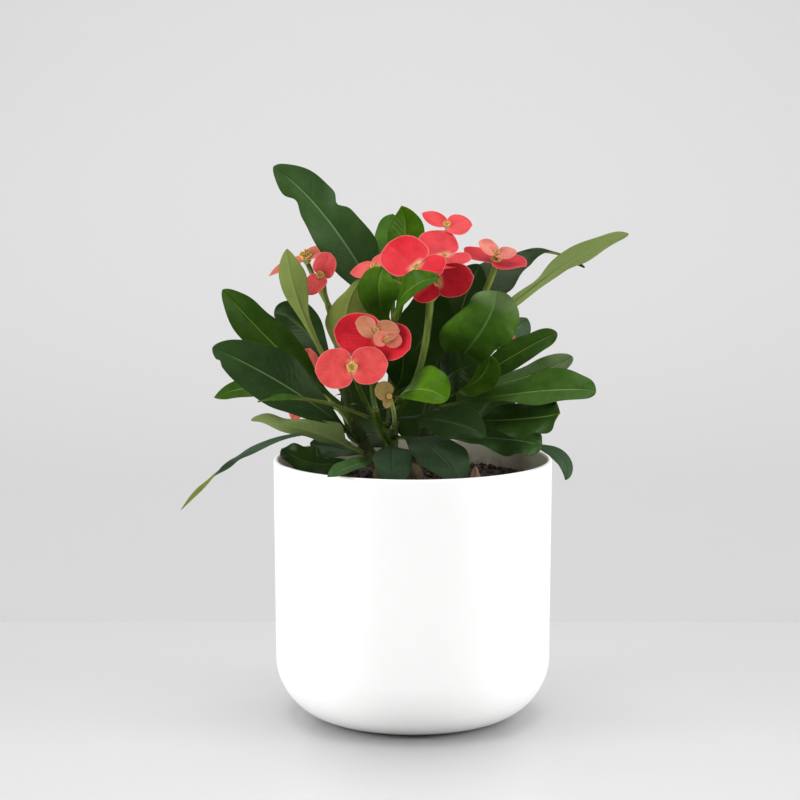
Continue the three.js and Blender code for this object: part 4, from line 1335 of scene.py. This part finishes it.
FLOWERS = [
    flower(1, (-32, -48, 197), (0, -1, 0.2),
           [((-1, 0, -0.1), 19.5, 21, 0.1), ((1, 0, 0.1), 19, 19.5, 0.15)], tint=(0.16, 0, 0)),
    flower(2, (-18, -40, 212), (0, -1, 0.35),
           [((-1, 0, 0.1), 24, 23, 0.15), ((1, 0, -0.5), 18, 21, 0.35)],
           young=[((-2, -2, 6), 0.6, (0.3, -1, 0.6), (0.45, 0.42, 0)),
                  ((4, 2.5, 7), 0.4, (0.3, -1, 0.1), (0.35, 0.2, 0))],
           tint=(0, 0, 0)),
    flower(3, (2, -32, 248), (-0.2, -0.8, 0.8),
           [((-0.6, 0, 0.8), 23, 26, 0.1), ((0.8, -0.5, -0.35), 18, 22, 0.3)], tint=(0.0, 0, 0.1),
           heart=0.75),
    flower(4, (16.5, -22, 253), (0, -0.6, 1),
           [((-0.4, 1, 0.3), 20, 21, 0.2), ((0.35, -1, -0.1), 14, 25, 0.1)], tint=(0.05, 0, 0.1),
           heart=0.6),
    flower(5, (18, -4, 269), (0, -0.7, 1), [((-0.9, 0, 0.5), 14, 11, 0.3), ((1, 0, -0.2), 14, 17, 0.0)],
           tint=(0.1, 0, 0), heart=0.75),
    flower(6, (45, 6, 249), (0.1, -0.4, 1),
           [((-0.9, 0.4, 0), 19, 18, 0.08), ((0.9, -0.5, 0), 18, 20, 0.1)],
           young=[((0, 0, 5), 0.55, (0.1, -0.6, 0.8), (0.55, 0.05, 0))], tint=(0.0, 0, 0.3)),
    flower(7, (13, -27, 240), (-0.3, -1, 0.1),
           [((1, 0, 0.1), 22, 18, 0.3), ((-0.8, 0, -0.7), 14, 13, 0.6)], tint=(0.0, 0, 0.4),
           heart=0.75),
    # flower 8's slight paleness is painted light: it brightens a flower in the shade under leaf 1
    flower(8, (-49.5, -6, 242), (-0.5, -1, 0.4),
           [((-0.35, 0, -1), 13, 13, 0.35), ((0.5, 0, 1), 13, 15, 0.2)], tint=(0.14, 0, 0), heart=0.75),
    flower(9, (-58, 10, 251), (-0.1, -0.6, 1),
           [((-0.9, 0, -0.45), 22, 8, -0.35), ((0.8, 0, 0.2), 13, 12, 0.3)], tint=(0.4, 0.15, 0),
           heart=1.3),
    flower(10, (-20, -13, 246.5), (-0.1, -0.5, 1),
           [((-0.9, 0, -0.2), 14, 15, -0.15), ((0.9, 0.5, 0.2), 14, 15, 0.2)], tint=(0.2, 0, 0)),
    flower(11, (-12.5, -46, 181.5), (0, -1, 0.3),
           [((-0.6, 0, 0.6), 9, 10, 0.3), ((-0.3, 0, -1), 7, 5, 0.3)],
           own=("centre", 0.3, (-10, -26, 168), 1.0, 1.2), tint=(0.4, 0.85, 0), heart=0.5),
    flower(12, (48, 26, 204), (0.1, 0.6, 1), [((-0.9, 0, 0), 9, 10, 0.2), ((0.9, 0, 0), 9, 10, 0.2)],
           own=("right", 0.62, (42, 26, 190), 1.2, 1.3), tint=(0.5, 0, 0), heart=0.7),
    flower(13, (-59, 8, 183), (-0.3, -1, 0),
           [((0.2, 0, 1), 19, 16, 0.1), ((-0.28, 0, -1), 23, 11, 0.1)],
           own=("left", 0.55, (-48, 4, 176), 1.2, 1.3), tint=(0.2, 0.1, 0), heart=0.8),
]
print("flower rows:", len(FLOWERS))


# %% The flowers
FULL_BRACT = 20
YOUNG_HEART = 0.55
NECK_SHORT = 1.5


def add_bracts(piece, throat, look, bracts, tint, seed):
    for i, (away, length, width, rise) in enumerate(bracts):
        grow(piece, BRACT, throat=throat * MM, look=look, away=Vector(away), length=length * MM,
             width=width * MM, rise=rise, dish=0.06, ruffle=length * 0.03 * MM, point=0.06,
             phase=seed * 1.3 + i * 2.0, thickness=0.9 * MM, tint=tint, material=FLOWER)


def make_flower(row):
    piece = new_piece(f"bloom_{row['number']:02d}")
    throat = Vector(row["at"])
    look = Vector(row["look"]).normalized()
    size = row.get("heart", 1.0)
    add_bracts(piece, throat, look, row["bracts"], row["tint"], row["number"])
    grow(piece, HEART, throat=throat * MM, look=look, size=size, seed=row["number"], tint=row["tint"],
         material=FLOWER)
    spread = Vector(row["bracts"][0][0])
    spread = (spread - look * spread.dot(look)).normalized()
    side = look.cross(spread)
    for k, (at, young, young_look, tint) in enumerate(row.get("young", [])):
        place = throat - spread * at[0] + side * at[1] + look * at[2]
        neck = Arc(throat, throat.lerp(place, 0.5), place - look * NECK_SHORT)
        grow(piece, RUN, **neck.points(), foot_radius=1.3 * MM, top_radius=1.1 * MM, flare=0.0, bumps=0.0,
             material=FLOWER)
        young_look = Vector(young_look).normalized()
        pair = [(spread * sign, FULL_BRACT * young, FULL_BRACT * young, 0.3) for sign in (1, -1)]
        add_bracts(piece, place, young_look, pair, tint, row["number"] + k + 3)
        grow(piece, HEART, throat=place * MM, look=young_look, size=YOUNG_HEART, seed=20 + k, tint=tint,
             material=FLOWER)
    if "own" in row:
        on, at, half, foot, top = row["own"]
        arc = Arc(foot_on(BRANCHES[on], at, half, FOOT_SUNK), half, throat - look * 4 * size)
        grow(piece, RUN, **arc.points(), foot_radius=foot * MM, top_radius=top * MM, flare=0.3,
             bumps=0.3 * MM, material=FLOWER)
    settle(piece)
    hand_over(piece, f"flower_{row['number']:02d}")
    return len(piece.data.polygons)


flower_faces = [make_flower(row) for row in FLOWERS]
print("flowers:", len(flower_faces), "faces:", flower_faces)

# %% [markdown]
# ## The flower stalks
# Four stalks carry the flowers, and three of them fork. Each is grown from runs
# and then given one skin. A run has its start (a branch, with how far up, or a
# point), its middle, its end (a point, or the number of a flower) and its radii.


# %% The stalks
STALK_SUNK = 1.2
CUP_DEPTH = 3.6
FORK_FRONT = (-20, -26, 172)
FORK_TOP = (9, -18, 229)
FORK_LEFT = (-46, 0, 226)
STALKS = {
    "front": [("centre", 0.2, (-17, -14, 160), FORK_FRONT, 1.7, 1.7),
              (FORK_FRONT, None, (-22, -27, 192), 2, 1.5, 1.5),
              ((-17, -14, 160), None, (-27, -18, 178), 1, 1.3, 1.5)],
    "top": [("centre", 0.4, (3, -15, 191), FORK_TOP, 1.8, 2.0),
            (FORK_TOP, None, (4, -19, 238), 3, 1.7, 1.5), (FORK_TOP, None, (15, -15, 240), 4, 1.7, 1.5),
            (FORK_TOP, None, (13, -5, 245), 5, 1.7, 1.5), (FORK_TOP, None, (13, -18, 234), 7, 1.7, 1.5),
            (FORK_TOP, None, (-5, -9, 236), 10, 1.7, 1.4)],
    "right": [("right", 1.0, (38, 8, 229), 6, 1.6, 1.8)],
    "left": [("left", 0.98, (-42, 0, 208), FORK_LEFT, 1.7, 1.8),
             (FORK_LEFT, None, (-48, 1, 233), 8, 1.5, 1.4),
             (FORK_LEFT, None, (-52, 8, 236), 9, 1.5, 1.4)],
}


def run_arc(start, at, half, end):
    """start is a branch's name or a point; end is a point or a flower's number."""
    base = foot_on(BRANCHES[start], at, half, STALK_SUNK) if isinstance(start, str) else Vector(start)
    if isinstance(end, int):
        row = FLOWERS[end - 1]
        end = Vector(row["at"]) - Vector(row["look"]).normalized() * CUP_DEPTH
    return Arc(base, half, end)


def make_stalk(name, runs):
    piece = new_piece(f"flower_stalk_{name}")
    for start, at, half, end, foot, top in runs:
        grow(piece, RUN, **run_arc(start, at, half, end).points(), foot_radius=foot * MM,
             top_radius=top * MM, flare=0.0 if at is None else 0.25, bumps=0.5 * MM, material=STALK)
    merge_runs(piece, 0.35)
    settle(piece)
    piece.data.materials.clear()
    piece.data.materials.append(STALK)
    hand_over(piece, f"stalk_{name}")
    return len(piece.data.polygons)


print("stalk faces:", {name: make_stalk(name, runs) for name, runs in STALKS.items()})

# %% [markdown]
# ## Table, backdrop, light and camera
# The plant stands on a plain pale table before a plain pale backdrop, between
# two large soft lights at the sides and one overhead. One more lights the
# backdrop, and a little light comes from all round. The camera is a little
# higher than the plant and looks down on it at a small angle.


# %% Table and backdrop
HALF_STAGE = 3.0


def make_stage_finish(name, near, far, roughness):
    """Pale paint whose grey goes from near to far over the first two metres behind; a darker near part is
    painted shade that evens out the lamps' light.
    """
    finish = Finish(name, specular_ior_level=0.3)
    cloud = finish.noise(finish.place(), 2.0, 2.0)
    share = finish.place().parts()[1].rise(0.1, 1.9)
    colour = finish.blend(share, (near,) * 3, (far,) * 3)
    colour = finish.blend(cloud * 0.02, colour, (0.5, 0.5, 0.5))
    return finish.wear(colour, roughness + cloud * 0.04)


def flat_sheet(name, points, material):
    """A sheet through a row of (y, z) points, wide from side to side."""
    verts = [(side, y, z) for y, z in points for side in (-HALF_STAGE, HALF_STAGE)]
    faces = [(2 * i, 2 * i + 1, 2 * i + 3, 2 * i + 2) for i in range(len(points) - 1)]
    mesh = bpy.data.meshes.new(name)
    mesh.from_pydata(verts, [], faces)
    mesh.shade_smooth()
    mesh.materials.append(material)
    sheet = new_piece(name, mesh)
    sheet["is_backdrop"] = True


TABLE_FRONT = -2.2
TABLE_EDGE = 0.217
BACKDROP_FLOOR = -0.002
SWEEP_START = 0.8
SWEEP_RADIUS = 2.0
SWEEP_STEPS = 24
BACKDROP_TOP = 3.2
table = [(TABLE_FRONT, 0.0), (TABLE_EDGE, 0.0), (TABLE_EDGE + 0.0005, BACKDROP_FLOOR)]
flat_sheet("table_top", table, make_stage_finish("pale_table", 0.82, 0.82, 0.32))
sweep = [(TABLE_EDGE, BACKDROP_FLOOR), (SWEEP_START, BACKDROP_FLOOR)]
for i in range(1, SWEEP_STEPS + 1):
    angle = math.pi / 2 * i / SWEEP_STEPS
    rise = SWEEP_RADIUS * (1 - math.cos(angle))
    sweep.append((SWEEP_START + SWEEP_RADIUS * math.sin(angle), BACKDROP_FLOOR + rise))
sweep.append((SWEEP_START + SWEEP_RADIUS, BACKDROP_TOP))
# painted shade: the backdrop is darker near the table, where the lamps light it more, so that it looks
# evenly bright
flat_sheet("backdrop", sweep, make_stage_finish("pale_backdrop", 0.51, 0.63, 0.7))
print("backdrop points:", len(sweep))


# %% Light
def softbox(name, place, target, size, power):
    data = bpy.data.lights.new(name, "AREA")
    data.shape = "RECTANGLE"
    data.size, data.size_y = size
    data.energy = power
    lamp = bpy.data.objects.new(name, data)
    lamp.location = place
    lamp.rotation_euler = (Vector(target) - Vector(place)).to_track_quat("-Z", "Y").to_euler()
    bpy.context.scene.collection.objects.link(lamp)


LIT_POINT = (0, 0, 0.25)
SIDE_BOX = (0.8, 1.0)
ROOM_LIGHT = 0.42
softbox("light_left", (-1.65, -0.64, 0.5), LIT_POINT, SIDE_BOX, 24)
softbox("light_right", (1.65, -0.56, 0.5), LIT_POINT, SIDE_BOX, 22)
softbox("light_above", (0.0, 0.1, 1.9), (0, 0, 0), (1.4, 1.4), 22)
softbox("light_on_backdrop", (0.0, 0.9, 2.2), (0.0, 2.8, 0.9), (3.0, 0.8), 20)
world = bpy.data.worlds.new("soft_room")
world.use_nodes = True
background = world.node_tree.nodes["Background"].inputs
background["Color"].default_value = (1.0, 1.0, 1.0, 1.0)
background["Strength"].default_value = ROOM_LIGHT
bpy.context.scene.world = world
bpy.context.scene.view_settings.view_transform = "Standard"
print("lights:", len(bpy.data.lights))

# %% Camera
CAMERA_PLACE = (-0.007, -1.2, 0.3272)
LOOKS_DOWN = 7.29
camera_data = bpy.data.cameras.new("camera")
camera_data.sensor_width = 36.0
camera_data.lens = 99.9
camera = bpy.data.objects.new("camera", camera_data)
camera.location = CAMERA_PLACE
camera.rotation_euler = (math.radians(90 - LOOKS_DOWN), 0.0, 0.0)
bpy.context.scene.collection.objects.link(camera)
bpy.context.scene.camera = camera
print("camera at", CAMERA_PLACE, "looks down by", LOOKS_DOWN, "degrees")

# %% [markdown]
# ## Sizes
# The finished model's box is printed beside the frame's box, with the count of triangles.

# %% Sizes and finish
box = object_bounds()
for label, (low, high) in (("frame", cad_box), ("model", box)):
    print(label, "from", [round(x, 4) for x in low], "to", [round(x, 4) for x in high])
triangles = sum(len(polygon.vertices) - 2 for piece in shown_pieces() for polygon in piece.data.polygons)
print("triangles in all:", triangles)
